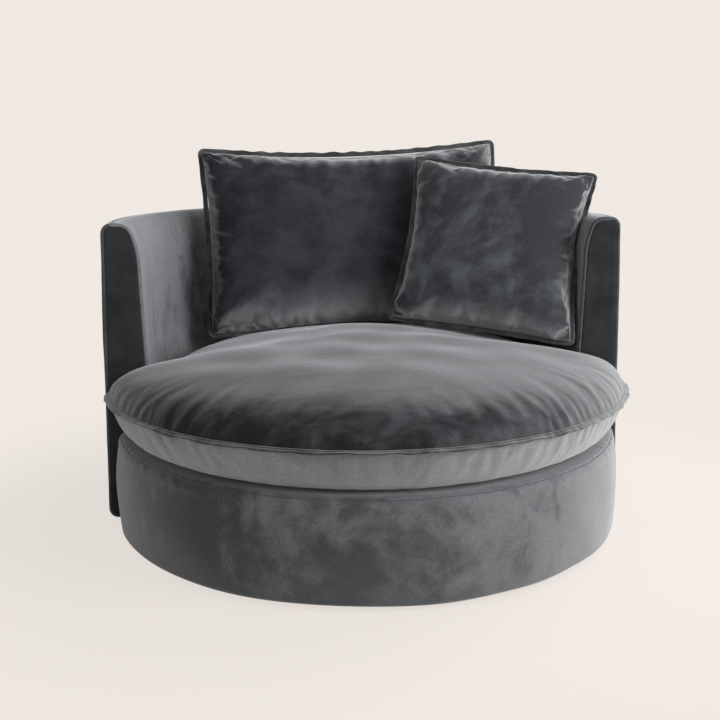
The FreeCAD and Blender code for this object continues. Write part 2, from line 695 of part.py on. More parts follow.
def makeShellUpholstery():
    nothing = asSize(0)
    ringPiece("inside_back_foam", rollCorners(cover) + (
        (deckWallRadius + cover, size.DeckHeight),
        (size.FrameRadius, size.DeckHeight),
        (size.FrameRadius, size.FrameTop),
        (rollTopRadius, size.FrameTop)),
        frameSpan)
    foot, footUp, shoulder, top = outerCorners(cover)
    ringPiece("top_roll_foam", (
        (rollTopRadius, size.FrameTop), (size.ShellRadius - cover, size.FrameTop), shoulder, top,
        (rollTopRadius, size.ShellHeight - cover)),
        frameSpan)
    ringPiece("outside_wadding", (
        (hoopOuter, size.ShellFoot + cover), foot, footUp,
        (size.ShellRadius - cover, size.FrameTop), (panelOuter, size.FrameTop),
        (panelOuter, size.BottomRailFoot), (hoopOuter, size.BottomRailFoot)),
        frameSpan)
    outFoot, outFootUp, outShoulder, outTop = outerCorners(nothing)
    ringPiece("outside_back_cover", (
        (hoopOuter, size.ShellFoot), outFoot, outFootUp, outShoulder, outTop,
        top[:2] + ((size.TopCorner - cover, -1),), shoulder[:2],
        footUp + ((size.FootCorner - cover, -1),), foot[:2], (hoopOuter, size.ShellFoot + cover)),
        coverSpan)
    ringPiece("inside_back_cover", (outTop,) + rollCorners(nothing) + (
        (deckWallRadius, size.DeckHeight), (deckWallRadius + cover, size.DeckHeight)) + reversedRoll(cover) + (
        top[:2],), coverSpan)


def makeArmEnds():
    layers = (
        ("arm_front_board", cover, size.ArmBoardAngle, frameSpan / 2),
        ("arm_front_pad", cover, size.ArmPadAngle, frameSpan / 2 + size.ArmBoardAngle),
        ("arm_front_cover", asSize(0), size.ArmCoverAngle, coverSpan / 2),
    )
    for side, sign in (("left", 1), ("right", -1)):
        for label, depth, thickness, start in layers:
            middle = (start + thickness / 2) * sign
            ringPiece("%s_%s" % (side, label), wholeSection(depth), thickness, middle)


# Cushions: lofts through slices of lines and arcs, read from the sheet
def newFeature(label, shape, placement=None):
    feature = document.addObject("Part::Feature", label)
    feature.Label = label
    feature.Shape = shape
    if placement is not None:
        feature.Placement = placement
    pieces.append(feature)
    return feature


def smoothLoft(wires):
    # A closed solid whose surfaces run smoothly through the slices
    solid, ruled, closed, degree = True, False, False, 3
    return Part.makeLoft(wires, solid, ruled, closed, degree)


def seatSlice(edge, height, drawnFront=0, drawnRear=0):
    # One level slice of the seat, drawn in by the edge all round and then by more at the front and the rear:
    # a wide arc in front of the arms, notches that widen with the crown, and an arc inside the shell
    frontRadius = size.SeatRadius.number - edge - drawnFront
    rearRadius = size.SeatRearRadius.number - edge - drawnRear
    gap = size.SeatNotchGap.number + edge + drawnFront * notchWidening
    turn = math.radians(size.ArmEndAngle.number)
    rim = {}
    for side in (-1, 1):
        along = Vector(side * math.sin(turn), math.cos(turn), 0)
        ahead = Vector(side * math.cos(turn), -math.sin(turn), 0)
        for name, radius in (("front", frontRadius), ("rear", rearRadius)):
            rim[side, name] = along * math.sqrt(radius * radius - gap * gap) + ahead * gap
    lift = Vector(0, 0, height)
    front, rear = Vector(0, -frontRadius, 0), Vector(0, rearRadius, 0)

    def arc(start, finish, radius):
        middle = (start + finish).normalize() * radius
        return Part.Arc(start + lift, middle + lift, finish + lift).toShape()

    def line(start, finish):
        return Part.LineSegment(start + lift, finish + lift).toShape()

    return Part.Wire([
        arc(rim[-1, "front"], front, frontRadius),
        arc(front, rim[1, "front"], frontRadius),
        line(rim[1, "front"], rim[1, "rear"]),
        arc(rim[1, "rear"], rear, rearRadius),
        arc(rear, rim[-1, "rear"], rearRadius),
        line(rim[-1, "rear"], rim[-1, "front"]),
    ])


def seatHalf(slices, depth, drawnIn):
    # One half of the seat from its seam up (depth > 0) or down (depth < 0), drawn in on every side
    edge = size.PipingWidth.number + size.SeamTuck.number + drawnIn
    seam = size.SeatSeamHeight.number
    rise = depth - math.copysign(drawnIn, depth)
    return smoothLoft([seatSlice(edge, seam + share * rise, front, rear) for share, front, rear in slices])


def seatSolid(drawnIn):
    under = size.DeckTop.number + size.FitGap.number - size.SeatSeamHeight.number
    upper = seatHalf(seatCrownSlices, size.SeatCrown.number, drawnIn)
    return upper, seatHalf(seatUnderSlices, under, drawnIn)


def pipingBand(outer, inner, low, height):
    # A flat band between two closed outlines
    band = Part.Face(outer).cut(Part.Face(inner)).extrude(Vector(0, 0, height))
    band.translate(Vector(0, 0, low))
    return band


def makeSeatCushion():
    upperOut, underOut = seatSolid(0)
    upperIn, underIn = seatSolid(cover.number)
    upperCore, underCore = seatSolid(cover.number + size.SeatWrap.number)
    core = upperCore.fuse(underCore)
    filling = upperIn.fuse(underIn)
    newFeature("seat_foam_core", core)
    newFeature("seat_fibre_wrap", filling.cut(core))
    newFeature("seat_top_panel", upperOut.cut(upperIn))
    newFeature("seat_bottom_panel", underOut.cut(underIn))
    thickness = size.PipingThickness.number
    seam = size.SeatSeamHeight.number
    band = pipingBand(seatSlice(0, seam), seatSlice(size.PipingWidth.number, seam), -thickness / 2, thickness)
    reach = size.SeatRadius.number
    half = math.radians(size.SeatZipAngle.number / 2)
    far = reach / math.cos(half)
    corners = [Vector(0, 0, 0), Vector(far * math.sin(half), reach, 0), Vector(-far * math.sin(half), reach, 0)]
    wedge = Part.Face(Part.makePolygon(corners + corners[:1])).extrude(Vector(0, 0, size.DeckTop.number * 4))
    newFeature("seat_piping", band.cut(wedge))
    newFeature("seat_zip", band.common(wedge))


def pillowSlice(halfWidth, halfTall, corner, bow, depth):
    # A rounded rectangle whose sides bow inwards by the given amount, or outwards where it is negative
    quarter = corner * (1 - math.sqrt(0.5))
    edges = []
    spots = ((1, -1), (1, 1), (-1, 1), (-1, -1))
    for index, (right, up) in enumerate(spots):
        tip = Vector(right * halfWidth, up * halfTall, depth)
        before = tip - (Vector(right * corner, 0, 0) if index % 2 == 0 else Vector(0, up * corner, 0))
        after = tip - (Vector(0, up * corner, 0) if index % 2 == 0 else Vector(right * corner, 0, 0))
        middle = tip - Vector(right * quarter, up * quarter, 0)
        edges.append(Part.Arc(before, middle, after).toShape())
        ahead, over = spots[(index + 1) % 4]
        nextTip = Vector(ahead * halfWidth, over * halfTall, depth)
        step = Vector(0, over * corner, 0) if index % 2 == 0 else Vector(ahead * corner, 0, 0)
        inward = Vector(-right * bow, 0, 0) if index % 2 == 0 else Vector(0, -up * bow, 0)
        middle = (after + nextTip - step) / 2 + inward
        edges.append(Part.Arc(after, middle, nextTip - step).toShape())
    return Part.Wire(edges)


def pillowHalf(halfWidth, halfTall, halfDepth, side):
    # The front (side 1) or rear (side -1) half of a cushion, crowned from its seam outwards
    wires = []
    for share, drawn, corner, bow in pillowSlices:
        inward = drawn * min(halfWidth, halfTall)
        wires.append(pillowSlice(halfWidth - inward, halfTall - inward, corner, bow, side * share * halfDepth))
    return smoothLoft(wires)


def makePillow(prefix, width, tall, depth, zipLength, placement):
    # A cushion flat in its own XY plane with +Z as its front, then put in place
    edge = size.PipingWidth.number
    halfWidth, halfTall, halfDepth = width / 2 - edge, tall / 2 - edge, depth / 2
    tuck, thin = size.SeamTuck.number, cover.number
    outer = {side: pillowHalf(halfWidth - tuck, halfTall - tuck, halfDepth, side) for side in (1, -1)}
    thin += tuck
    inner = {side: pillowHalf(halfWidth - thin, halfTall - thin, halfDepth - thin, side) for side in (1, -1)}
    newFeature(prefix + "_pad", inner[1].fuse(inner[-1]), placement)
    newFeature(prefix + "_front_panel", outer[1].cut(inner[1]), placement)
    newFeature(prefix + "_rear_panel", outer[-1].cut(inner[-1]), placement)
    corner, bow = pillowSlices[0][2:]
    seam = pillowSlice(halfWidth, halfTall, corner, bow, 0)
    rim = pillowSlice(halfWidth + edge, halfTall + edge, corner + edge, bow, 0)
    thickness = size.PipingThickness.number
    band = pipingBand(rim, seam, -thickness / 2, thickness)
    gate = Part.makeBox(zipLength, tall / 2, thickness * 2, Vector(-zipLength / 2, -tall / 2, -thickness))
    newFeature(prefix + "_piping", band.cut(gate), placement)
    newFeature(prefix + "_zip", band.common(gate), placement)


def cushionPlacement(place, turn, lean, roll):
    # Stands the cushion up facing -Y, turns it about the vertical, leans it back and rolls it in its plane
    upright = Rotation(Vector(1, 0, 0), 90 - lean)
    return Placement(place, Rotation(Vector(0, 0, 1), turn) * upright * Rotation(Vector(0, 0, 1), roll))


def makeLooseCushions():
    makePillow(
        "back_cushion", size.BackWidth.number, size.BackTall.number, size.BackDepth.number,
        size.BackZipLength.number,
        cushionPlacement(
            Vector(0, size.BackPlace.number, size.BackRise.number),
            size.BackTurn.number, size.BackLean.number, size.BackRoll.number))
    makePillow(
        "scatter", size.ScatterWidth.number, size.ScatterTall.number, size.ScatterDepth.number,
        size.ScatterZipLength.number,
        cushionPlacement(
            Vector(size.ScatterSide.number, size.ScatterPlace.number, size.ScatterRise.number),
            -size.ScatterTurn.number, size.ScatterLean.number, -size.ScatterRoll.number))


makePlinth()
makeTurntable()
makeBallRing()
makeDrumFrame()
makeFrameBolts()
makeDeck()
makeDrumUpholstery()
makeShellFrame()
makeShellUpholstery()
makeArmEnds()
makeSeatCushion()
makeLooseCushions()
document.recompute()

for item in document.Objects:
    if "Invalid" in item.State or "Error" in item.State:
        raise ValueError("%s failed: %s" % (item.Label, item.State))
for piece in pieces:
    if piece.Shape.isNull() or not piece.Shape.isValid() or not piece.Shape.Solids:
        raise ValueError("%s has no valid solid" % piece.Label)

os.makedirs("parts", exist_ok=True)
for piece in pieces:
    piece.Shape.exportStep("parts/%s.step" % piece.Label)
    bounds = piece.Shape.optimalBoundingBox(False)
    print("%-26s %3d solids  %9.0f cm3  z %6.1f to %6.1f" % (
        piece.Label, len(piece.Shape.Solids), piece.Shape.Volume / 1000, bounds.ZMin, bounds.ZMax))
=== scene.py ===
import math
import bmesh
import bpy
import numpy as np
from mathutils import Matrix


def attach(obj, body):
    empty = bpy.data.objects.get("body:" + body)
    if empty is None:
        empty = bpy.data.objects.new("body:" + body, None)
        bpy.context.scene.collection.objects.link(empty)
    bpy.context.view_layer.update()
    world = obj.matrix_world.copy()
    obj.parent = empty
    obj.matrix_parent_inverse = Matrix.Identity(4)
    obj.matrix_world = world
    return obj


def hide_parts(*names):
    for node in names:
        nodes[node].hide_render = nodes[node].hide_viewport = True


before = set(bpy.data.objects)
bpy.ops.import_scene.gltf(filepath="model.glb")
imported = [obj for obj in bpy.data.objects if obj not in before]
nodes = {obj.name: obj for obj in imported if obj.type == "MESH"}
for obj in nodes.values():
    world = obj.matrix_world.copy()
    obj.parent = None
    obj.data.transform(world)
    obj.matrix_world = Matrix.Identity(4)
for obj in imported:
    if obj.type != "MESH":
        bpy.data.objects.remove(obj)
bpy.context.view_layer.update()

# Cuddle chair in charcoal velvet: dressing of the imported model. Shapes are worked out in millimetres;
# the mesh maker turns them to metres. Bearings count from the middle of the back (+Y) towards the right arm (+X).
scene = bpy.context.scene
scene.view_settings.view_transform = "Standard"
millimetre = 0.001


view = {
    "place": (-0.3145, -2.6816, 0.9597),
    "turn": -6.407,        # towards +X
    "tilt": 83.096,        # 90 is level
    "roll": -0.275,
    "lens": 54.207,        # for a 36 mm wide frame
    "rise": -0.1319,       # frame shift
}
studio = {
    "paper": "#F0E9E3",
    "floorRadius": 16000,
    "plainFrom": 1500,     # beyond this distance the floor shows its plain colour
    "nearGlow": 0.82,      # share of self-lit paper colour beside the chair; the rest takes its shadow
    "world": 0.32,
    "lamps": (             # name, place, aimed at, size, watts
        ("keyLamp", (3.1, -2.1, 1.8), (0, 0, 0.35), 2.2, 140),
        ("topLamp", (2.5, 1.1, 2.3), (0, 0, 0.4), 2.2, 76),
        ("fillLamp", (-2.8, -2.0, 1.6), (0, 0, 0.4), 2.0, 18),
    ),
}


def linear(hexColour):
    # sRGB hex to the linear values that sockets take
    parts = [int(hexColour[at:at + 2], 16) / 255 for at in (1, 3, 5)]
    return tuple(c / 12.92 if c <= 0.04045 else ((c + 0.055) / 1.055) ** 2.4 for c in parts) + (1.0,)


def addNode(tree, kind, settings=(), links=()):
    # One shader node; a setting is an input's name or number, or else a property of the node
    node = tree.nodes.new("ShaderNode" + kind)
    for key, value in dict(settings).items():
        if isinstance(key, int) or key in node.inputs:
            node.inputs[key].default_value = value
        else:
            setattr(node, key, value)
    for key, source in dict(links).items():
        tree.links.new(source, node.inputs[key])
    return node


def newMaterial(name):
    material = bpy.data.materials.new(name)
    material.use_nodes = True
    material.node_tree.nodes.clear()
    return material, material.node_tree


def placeCamera():
    camera = bpy.data.objects.new("camera", bpy.data.cameras.new("camera"))
    scene.collection.objects.link(camera)
    turn, tilt, roll = (math.radians(view[key]) for key in ("turn", "tilt", "roll"))
    camera.matrix_world = (Matrix.Translation(view["place"]) @ Matrix.Rotation(turn, 4, "Z")
                           @ Matrix.Rotation(tilt, 4, "X") @ Matrix.Rotation(roll, 4, "Z"))
    camera.data.lens = view["lens"]
    camera.data.shift_y = view["rise"]
    camera.data.clip_end = 60
    scene.camera = camera


def lightStudio():
    for name, place, aim, width, watts in studio["lamps"]:
        lamp = bpy.data.objects.new(name, bpy.data.lights.new(name, "AREA"))
        lamp.data.size = width
        lamp.data.energy = watts
        lamp.location = place
        direction = Matrix.Translation(aim).translation - Matrix.Translation(place).translation
        lamp.rotation_euler = direction.to_track_quat("-Z", "Y").to_euler()
        scene.collection.objects.link(lamp)
    world = bpy.data.worlds.new("studio")
    world.use_nodes = True
    scene.world = world
    tree = world.node_tree
    tree.nodes.clear()
    ray = addNode(tree, "LightPath")
    seen = addNode(tree, "Math", {"operation": "MAXIMUM"},
                   {0: ray.outputs["Is Camera Ray"], 1: ray.outputs["Is Glossy Ray"]})
    seen = addNode(tree, "Math", {"operation": "MAXIMUM"},
                   {0: seen.outputs[0], 1: ray.outputs["Is Transmission Ray"]})
    soft = addNode(tree, "Background", {"Color": (1, 1, 1, 1), "Strength": studio["world"]})
    paper = addNode(tree, "Background", {"Color": linear(studio["paper"]), "Strength": 1})
    mix = addNode(tree, "MixShader", (), {0: seen.outputs[0], 1: soft.outputs[0], 2: paper.outputs[0]})
    addNode(tree, "OutputWorld", (), {"Surface": mix.outputs[0]})


def quadsOf(index):
    # Faces between neighbouring rows and columns of a grid of vertex numbers
    return np.stack([index[:-1, :-1], index[:-1, 1:], index[1:, 1:], index[1:, :-1]], -1).reshape(-1, 4)


def makePiece(name, points, faces, material):
    mesh = bpy.data.meshes.new(name)
    mesh.from_pydata((points.reshape(-1, 3) * millimetre).tolist(), [], faces)
    mesh.materials.append(material)
    mesh.polygons.foreach_set("use_smooth", np.full(len(mesh.polygons), True))
    piece = bpy.data.objects.new(name, mesh)
    scene.collection.objects.link(piece)
    return piece


def faceOutwards(piece, merge=1e-6):
    form = bmesh.new()
    form.from_mesh(piece.data)
    bmesh.ops.remove_doubles(form, verts=form.verts, dist=merge)
    bmesh.ops.recalc_face_normals(form, faces=form.faces)
    form.to_mesh(piece.data)
    form.free()
    return piece


def sweptPiece(name, sections, material, joined=False):
    # Closed outlines carried along a path: sections are (steps, outline points, 3); open paths get flat ends
    steps, count = sections.shape[:2]
    index = np.arange(steps * count).reshape(steps, count)
    index = np.hstack([index, index[:, :1]])
    if joined:
        index = np.vstack([index, index[:1]])
    faces = quadsOf(index).tolist()
    if not joined:
        faces += [index[0, :-1].tolist(), index[-1, :-1].tolist()]
    return faceOutwards(makePiece(name, sections, faces, material))


def pairedPiece(name, front, back, material):
    # Two sheets of the same grid, closed where their rims meet or by a wall between the rims
    rows, columns = front.shape[:2]
    first = np.arange(rows * columns).reshape(rows, columns)
    second = first + rows * columns
    rim = [np.concatenate([sheet[0, :-1], sheet[:-1, -1], sheet[-1, :0:-1], sheet[:0:-1, 0], sheet[0, :1]])
           for sheet in (first, second)]
    faces = quadsOf(first).tolist() + quadsOf(second).tolist() + quadsOf(np.stack(rim)).tolist()
    return faceOutwards(makePiece(name, np.stack([front, back]), faces, material))


def ripple(points, wavelength, seed, waves=9):
    # Smooth unevenness from about -1 to 1: plane waves of near that length with fixed random directions
    draw = np.random.default_rng(seed)
    total = np.zeros(points.shape[:-1])
    for _ in range(waves):
        direction = draw.normal(size=points.shape[-1])
        direction *= 2 * math.pi * draw.uniform(0.7, 1.5) / (wavelength * np.linalg.norm(direction))
        total += np.sin(points @ direction + draw.uniform(0, 2 * math.pi))
    return total / math.sqrt(waves)


def arcPoints(start, finish, radius, turn, count):
    # Points on the short arc between two points of a section; turn is 1 for leftwards, -1 for rightwards
    start, finish = np.array(start, float), np.array(finish, float)
    chord = finish - start
    half = np.linalg.norm(chord) / 2
    across = np.array([-chord[1], chord[0]]) / (2 * half)
    centre = (start + finish) / 2 + across * turn * math.sqrt(radius * radius - half * half)
    first, last = (math.atan2(*(point - centre)[::-1]) for point in (start, finish))
    last += 2 * math.pi * round((first - last) / (2 * math.pi))
    angle = np.linspace(first, last, count)
    return centre + radius * np.stack([np.cos(angle), np.sin(angle)], -1)


def joinPath(*parts):
    # Runs and single corners of a section, one after the other, without doubled points
    path = np.concatenate([np.atleast_2d(np.array(part, float)) for part in parts])
    keep = np.r_[True, np.linalg.norm(np.diff(path, axis=0), axis=1) > 1e-6]
    return path[keep]


def pathLength(path):
    return np.linalg.norm(np.diff(path, axis=0), axis=1).sum()


def evenPath(path, spacing):
    # The same run with points at even distances
    length = np.r_[0, np.cumsum(np.linalg.norm(np.diff(path, axis=0), axis=1))]
    at = np.linspace(0, length[-1], max(2, round(length[-1] / spacing) + 1))
    return np.stack([np.interp(at, length, path[:, axis]) for axis in range(path.shape[1])], -1)


def smoothCurve(x, xs, ys):
    # Cubic through given points that never overshoots: each slope is the harmonic mean of the chords beside it
    xs, ys = np.array(xs, float), np.array(ys, float)
    step = np.diff(xs)
    chord = np.diff(ys) / step
    product, total = chord[:-1] * chord[1:], chord[:-1] + chord[1:]
    inner = np.where(product > 0, 2 * product / np.where(product > 0, total, 1), 0)
    slope = np.r_[chord[0], inner, chord[-1]]
    at = np.clip(np.searchsorted(xs, x, side="right") - 1, 0, len(step) - 1)
    t = (x - xs[at]) / step[at]
    return ((1 + 2 * t) * (1 - t) ** 2 * ys[at] + t * (1 - t) ** 2 * step[at] * slope[at]
            + t * t * (3 - 2 * t) * ys[at + 1] + t * t * (t - 1) * step[at] * slope[at + 1])


def aroundAxis(section, bearing):
    # A section of (radius, height) set up at each bearing about the swivel axis
    radius, height = section[..., 0], section[..., 1]
    return np.stack([radius * np.sin(bearing), radius * np.cos(bearing), np.broadcast_to(height, radius.shape)], -1)


velvets = {   # darkest pile tone, lightest pile tone, painted sheen where the surface is seen from the side, painted light where the surface faces down, stretch of the brush marks, painted light and shade as a shift per metre towards +X. One cloth, but its tones are lit and shaded copies, painted light fitted piece by piece to one view, so they differ more than one bolt would
              # faces down, stretch of the brush marks, shift of the nap per metre towards +X. One cloth, but
              # its tones are fitted piece by piece to one view, so they differ more than one bolt would
    "drumVelvet": ("#424447", "#6A6C6F", "#8C8D8F", "#646669", (3.6, 3.6, 1.6), 0.12),
    "shellVelvet": ("#323437", "#4C4E51", "#8C8D8F", "#4C4E51", (3.6, 3.6, 1.6), 0.0),
    "insideVelvet": ("#44464A", "#737578", "#8A8B8E", "#737578", (7.0, 7.0, 3.0), -0.15),
    "armEndVelvet": ("#1F2123", "#2F3133", "#6E6F71", "#2F3133", (3.6, 3.6, 1.6), 0.0),
    "crownVelvet": ("#1D1F22", "#45474A", "#949597", "#66676A", (3.0, 5.0, 4.0), 0.22),
    "underVelvet": ("#5F6063", "#8A8B8E", "#A2A3A4", "#838487", (5.0, 5.0, 3.0), 0.0),
    "backVelvet": ("#23252A", "#383A3E", "#A6A7AA", "#8E9093", (4.0, 4.0, 3.0), 0.0),
    "scatterVelvet": ("#3A3C40", "#606468", "#B0B1B4", "#9C9EA1", (4.0, 4.0, 3.0), -0.1),
    "flangeVelvet": ("#38393A", "#525354", "#A4A4A2", "#4A4B4A", (20.0, 20.0, 20.0), 0.0),
}


def makeVelvet(name):
    # Cotton velvet, woven and sheared: 1.5 mm pile whose lie gives dark and light brush marks, with the shader's
    # pale sheen where the surface turns away. Painted on top: a painted sheen, painted light facing down and a
    # painted slope along x
    dark, light, side, paintedLightBelow, stretch, paintedLightSlope = velvets[name]
    material, tree = newMaterial(name)
    place = addNode(tree, "TexCoord").outputs["Object"]
    strokes = addNode(tree, "Mapping", {"Scale": stretch, "Rotation": (0, 0, 0.5)}, {"Vector": place})
    brushed = addNode(tree, "TexNoise", {"Scale": 1.0, "Detail": 4.0, "Roughness": 0.55, "Distortion": 0.7},
                      {"Vector": strokes.outputs[0]})
    hand = addNode(tree, "Mapping", {"Scale": (12, 34, 16), "Rotation": (0.3, 0.2, 0.6)}, {"Vector": place})
    streaks = addNode(tree, "TexNoise", {"Scale": 1.0, "Detail": 5.0, "Roughness": 0.6, "Distortion": 0.4},
                      {"Vector": hand.outputs[0]})
    # grain of about 3 mm, coarser than real pile
    pile = addNode(tree, "TexNoise", {"Scale": 330.0, "Detail": 3.0, "Roughness": 0.75}, {"Vector": place})
    lie = addNode(tree, "Math", {"operation": "MULTIPLY_ADD", 1: 0.42, 2: 0.0}, {0: streaks.outputs[0]})
    lie = addNode(tree, "Math", {"operation": "MULTIPLY_ADD", 1: 0.58}, {0: brushed.outputs[0], 2: lie.outputs[0]})
    # painted light and shade: the mix shifts along x by the cloth's slope, so one side of each piece is lighter
    across = addNode(tree, "SeparateXYZ", (), {0: place})
    lie = addNode(tree, "Math", {"operation": "MULTIPLY_ADD", 1: paintedLightSlope},
                  {0: across.outputs["X"], 2: lie.outputs[0]})
    lie = addNode(tree, "MapRange", {"interpolation_type": "SMOOTHSTEP", "From Min": 0.4, "From Max": 0.6},
                  {"Value": lie.outputs[0]})
    napAndPaintedLight = addNode(tree, "Mix", {"data_type": "RGBA", 6: linear(dark), 7: linear(light)}, {0: lie.outputs[0]})
    # painted light: surfaces that face down take their own tone, fitted to how light fell on them
    facing = addNode(tree, "SeparateXYZ", (), {0: addNode(tree, "NewGeometry").outputs["Normal"]})
    down = addNode(tree, "MapRange", {"interpolation_type": "SMOOTHSTEP", "From Min": 0.12, "From Max": -0.6},
                   {"Value": facing.outputs["Z"]})
    napAndPaintedLight = addNode(tree, "Mix", {"data_type": "RGBA", 7: linear(paintedLightBelow)}, {0: down.outputs[0], 6: napAndPaintedLight.outputs[2]})
    # painted sheen: the colour turns to the pale side tone where the surface is seen from the side
    turned = addNode(tree, "LayerWeight", {"Blend": 0.5})
    turned = addNode(tree, "MapRange", {"From Min": 0.3, "From Max": 0.95, "To Max": 0.8},
                     {"Value": turned.outputs["Facing"]})
    napAndPaintedLight = addNode(tree, "Mix", {"data_type": "RGBA", 7: linear(side)}, {0: turned.outputs[0], 6: napAndPaintedLight.outputs[2]})
    grain = addNode(tree, "MapRange", {"From Min": 0.25, "From Max": 0.75, "To Min": 0.66, "To Max": 1.34},
                    {"Value": pile.outputs[0]})
    speck = addNode(tree, "VectorMath", {"operation": "SCALE"}, {0: napAndPaintedLight.outputs[2], "Scale": grain.outputs[0]})
    height = addNode(tree, "Math", {"operation": "MULTIPLY_ADD", 1: 3.0},
                     {0: streaks.outputs[0], 2: pile.outputs[0]})
    bump = addNode(tree, "Bump", {"Strength": 0.35, "Distance": 0.0008}, {"Height": height.outputs[0]})
    shader = addNode(tree, "BsdfPrincipled", {
        "Roughness": 0.85, "Specular IOR Level": 0.15, "Sheen Weight": 0.75, "Sheen Roughness": 0.32,
        "Sheen Tint": linear("#C9CCD0")}, {"Base Color": speck.outputs[0], "Normal": bump.outputs[0]})
    addNode(tree, "OutputMaterial", (), {"Surface": shader.outputs[0]})
    return material


velvet = {name: makeVelvet(name) for name in velvets}
print("velvets made")

shell = {
    "radius": 646, "height": 750, "foot": 20, "endBearing": 94.4, "topCorner": 25, "footCorner": 24,
    "rollInset": 42, "rollWidth": 52, "rollDrop": 110, "rollCurve": 38, "wallAtDeck": 530, "deck": 208,
    "frameInner": 594.5, "panelOuter": 621.5, "frameTop": 705,
    "endRound": 6, "step": 9, "unevenness": 1.1,
}


def outsideRun(depth):
    # From under the shell round its foot, up the outside and over the top corner, drawn in by depth
    edge, high, low = shell["radius"], shell["height"], shell["foot"]
    foot, top = shell["footCorner"], shell["topCorner"]
    return joinPath(
        (shell["frameInner"], low + depth),
        arcPoints((edge - foot, low + depth), (edge - depth, low + foot), foot - depth, 1, 9),
        arcPoints((edge - depth, high - top), (edge - top, high - depth), top - depth, 1, 9))


def insideRun(depth):
    # From the top seam over the roll's two arcs and down the wall to the deck, drawn in by depth
    tight = shell["rollCurve"]
    across, down = shell["rollWidth"] - tight, shell["rollDrop"] - tight
    wide = (shell["rollWidth"] ** 2 + down * down - tight * tight) / (across * 2)
    crest, high = shell["radius"] - shell["rollInset"], shell["height"]
    centre = crest - shell["rollWidth"] + wide
    share = (wide - depth) / (wide - tight)
    meet = (centre - (wide - shell["rollWidth"]) * share, high - shell["rollDrop"] + down * share)
    wall = (crest - shell["rollWidth"] + depth, high - shell["rollDrop"])
    return joinPath(
        (shell["radius"] - shell["topCorner"], high - depth),
        arcPoints((crest, high - depth), meet, tight - depth, 1, 9),
        arcPoints(meet, wall, wide - depth, 1, 12),
        (shell["wallAtDeck"] + depth, shell["deck"]))


def shellColumns():
    # Bearings and how far the section is drawn in there: a rounded edge at each arm's end, then the seam
    turn, end = shell["endRound"], math.radians(shell["endBearing"])
    swing = np.linspace(0, math.pi / 2, 7)
    back = np.r_[3.2, 1.5, 0, turn - turn * np.sin(swing)[::-1]]
    drawn = np.r_[turn + 3.5, turn + 3.0, turn + 1.5, turn - turn * np.cos(swing)[::-1]]
    edge = end - back / shell["radius"]
    count = round(2 * (end - turn / shell["radius"]) * shell["radius"] / shell["step"])
    middle = np.linspace(-edge[-1], edge[-1], count)[1:-1]
    return np.r_[-edge, middle, edge[::-1]], np.r_[drawn, np.zeros(len(middle)), drawn[::-1]]


def coverSections(run, back, seamAt):
    # One section for each column: the cover's own run, evenly divided, then its way back along the frame
    bearings, drawn = shellColumns()
    depths = np.unique(drawn)
    count = max(len(evenPath(run(depth), 8)) for depth in depths)
    shape = {depth: evenPath(run(depth), 1e-9 + pathLength(run(depth)) / (count - 1)) for depth in depths}
    sections = np.stack([np.concatenate([shape[depth], back]) for depth in drawn])
    points = aroundAxis(sections, bearings[:, None])
    outward = np.gradient(sections[:, :count], axis=1)
    outward /= np.maximum(np.linalg.norm(outward, axis=-1, keepdims=True), 1e-9)
    outward = np.stack([outward[..., 1], -outward[..., 0]], -1)
    soft = ripple(points[:, :count], 260, 3) * shell["unevenness"] + ripple(points[:, :count], 90, 4) * 0.35
    fade = np.clip((shell["endRound"] - drawn) / shell["endRound"], 0, 1)[:, None]
    along = np.linalg.norm(sections[:, :count] - np.array(seamAt), axis=-1)
    soft = soft * fade * np.clip(along / 30, 0, 1) - 2.2 * np.exp(-(along / 3.0) ** 2)
    sections[:, :count] += outward * soft[..., None]
    return aroundAxis(sections, bearings[:, None])


def makeShell():
    seam = (shell["radius"] - shell["topCorner"], shell["height"])
    outer, top, inner = shell["panelOuter"], shell["height"] - 4, shell["frameInner"]
    outside = coverSections(outsideRun, np.array([(outer, top), (outer, 47), (inner, 47)]), seam)
    inside = coverSections(insideRun, np.array([(589.5, shell["deck"]), (589.5, shell["frameTop"]),
                                                (outer - 0.8, shell["frameTop"]), (outer - 0.8, top)]), seam)
    pieces = [sweptPiece("outsideBack", outside, velvet["shellVelvet"]),
              sweptPiece("insideBack", inside, velvet["insideVelvet"])]
    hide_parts("outside_back_cover", "outside_wadding")
    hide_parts("inside_back_cover", "inside_back_foam", "top_roll_foam")
    for side, sign in (("left", -1), ("right", 1)):
        pieces.append(makeArmEnd(side, sign))
        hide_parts(side + "_arm_front_cover", side + "_arm_front_pad")
    for piece in pieces:
        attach(piece, "chair")


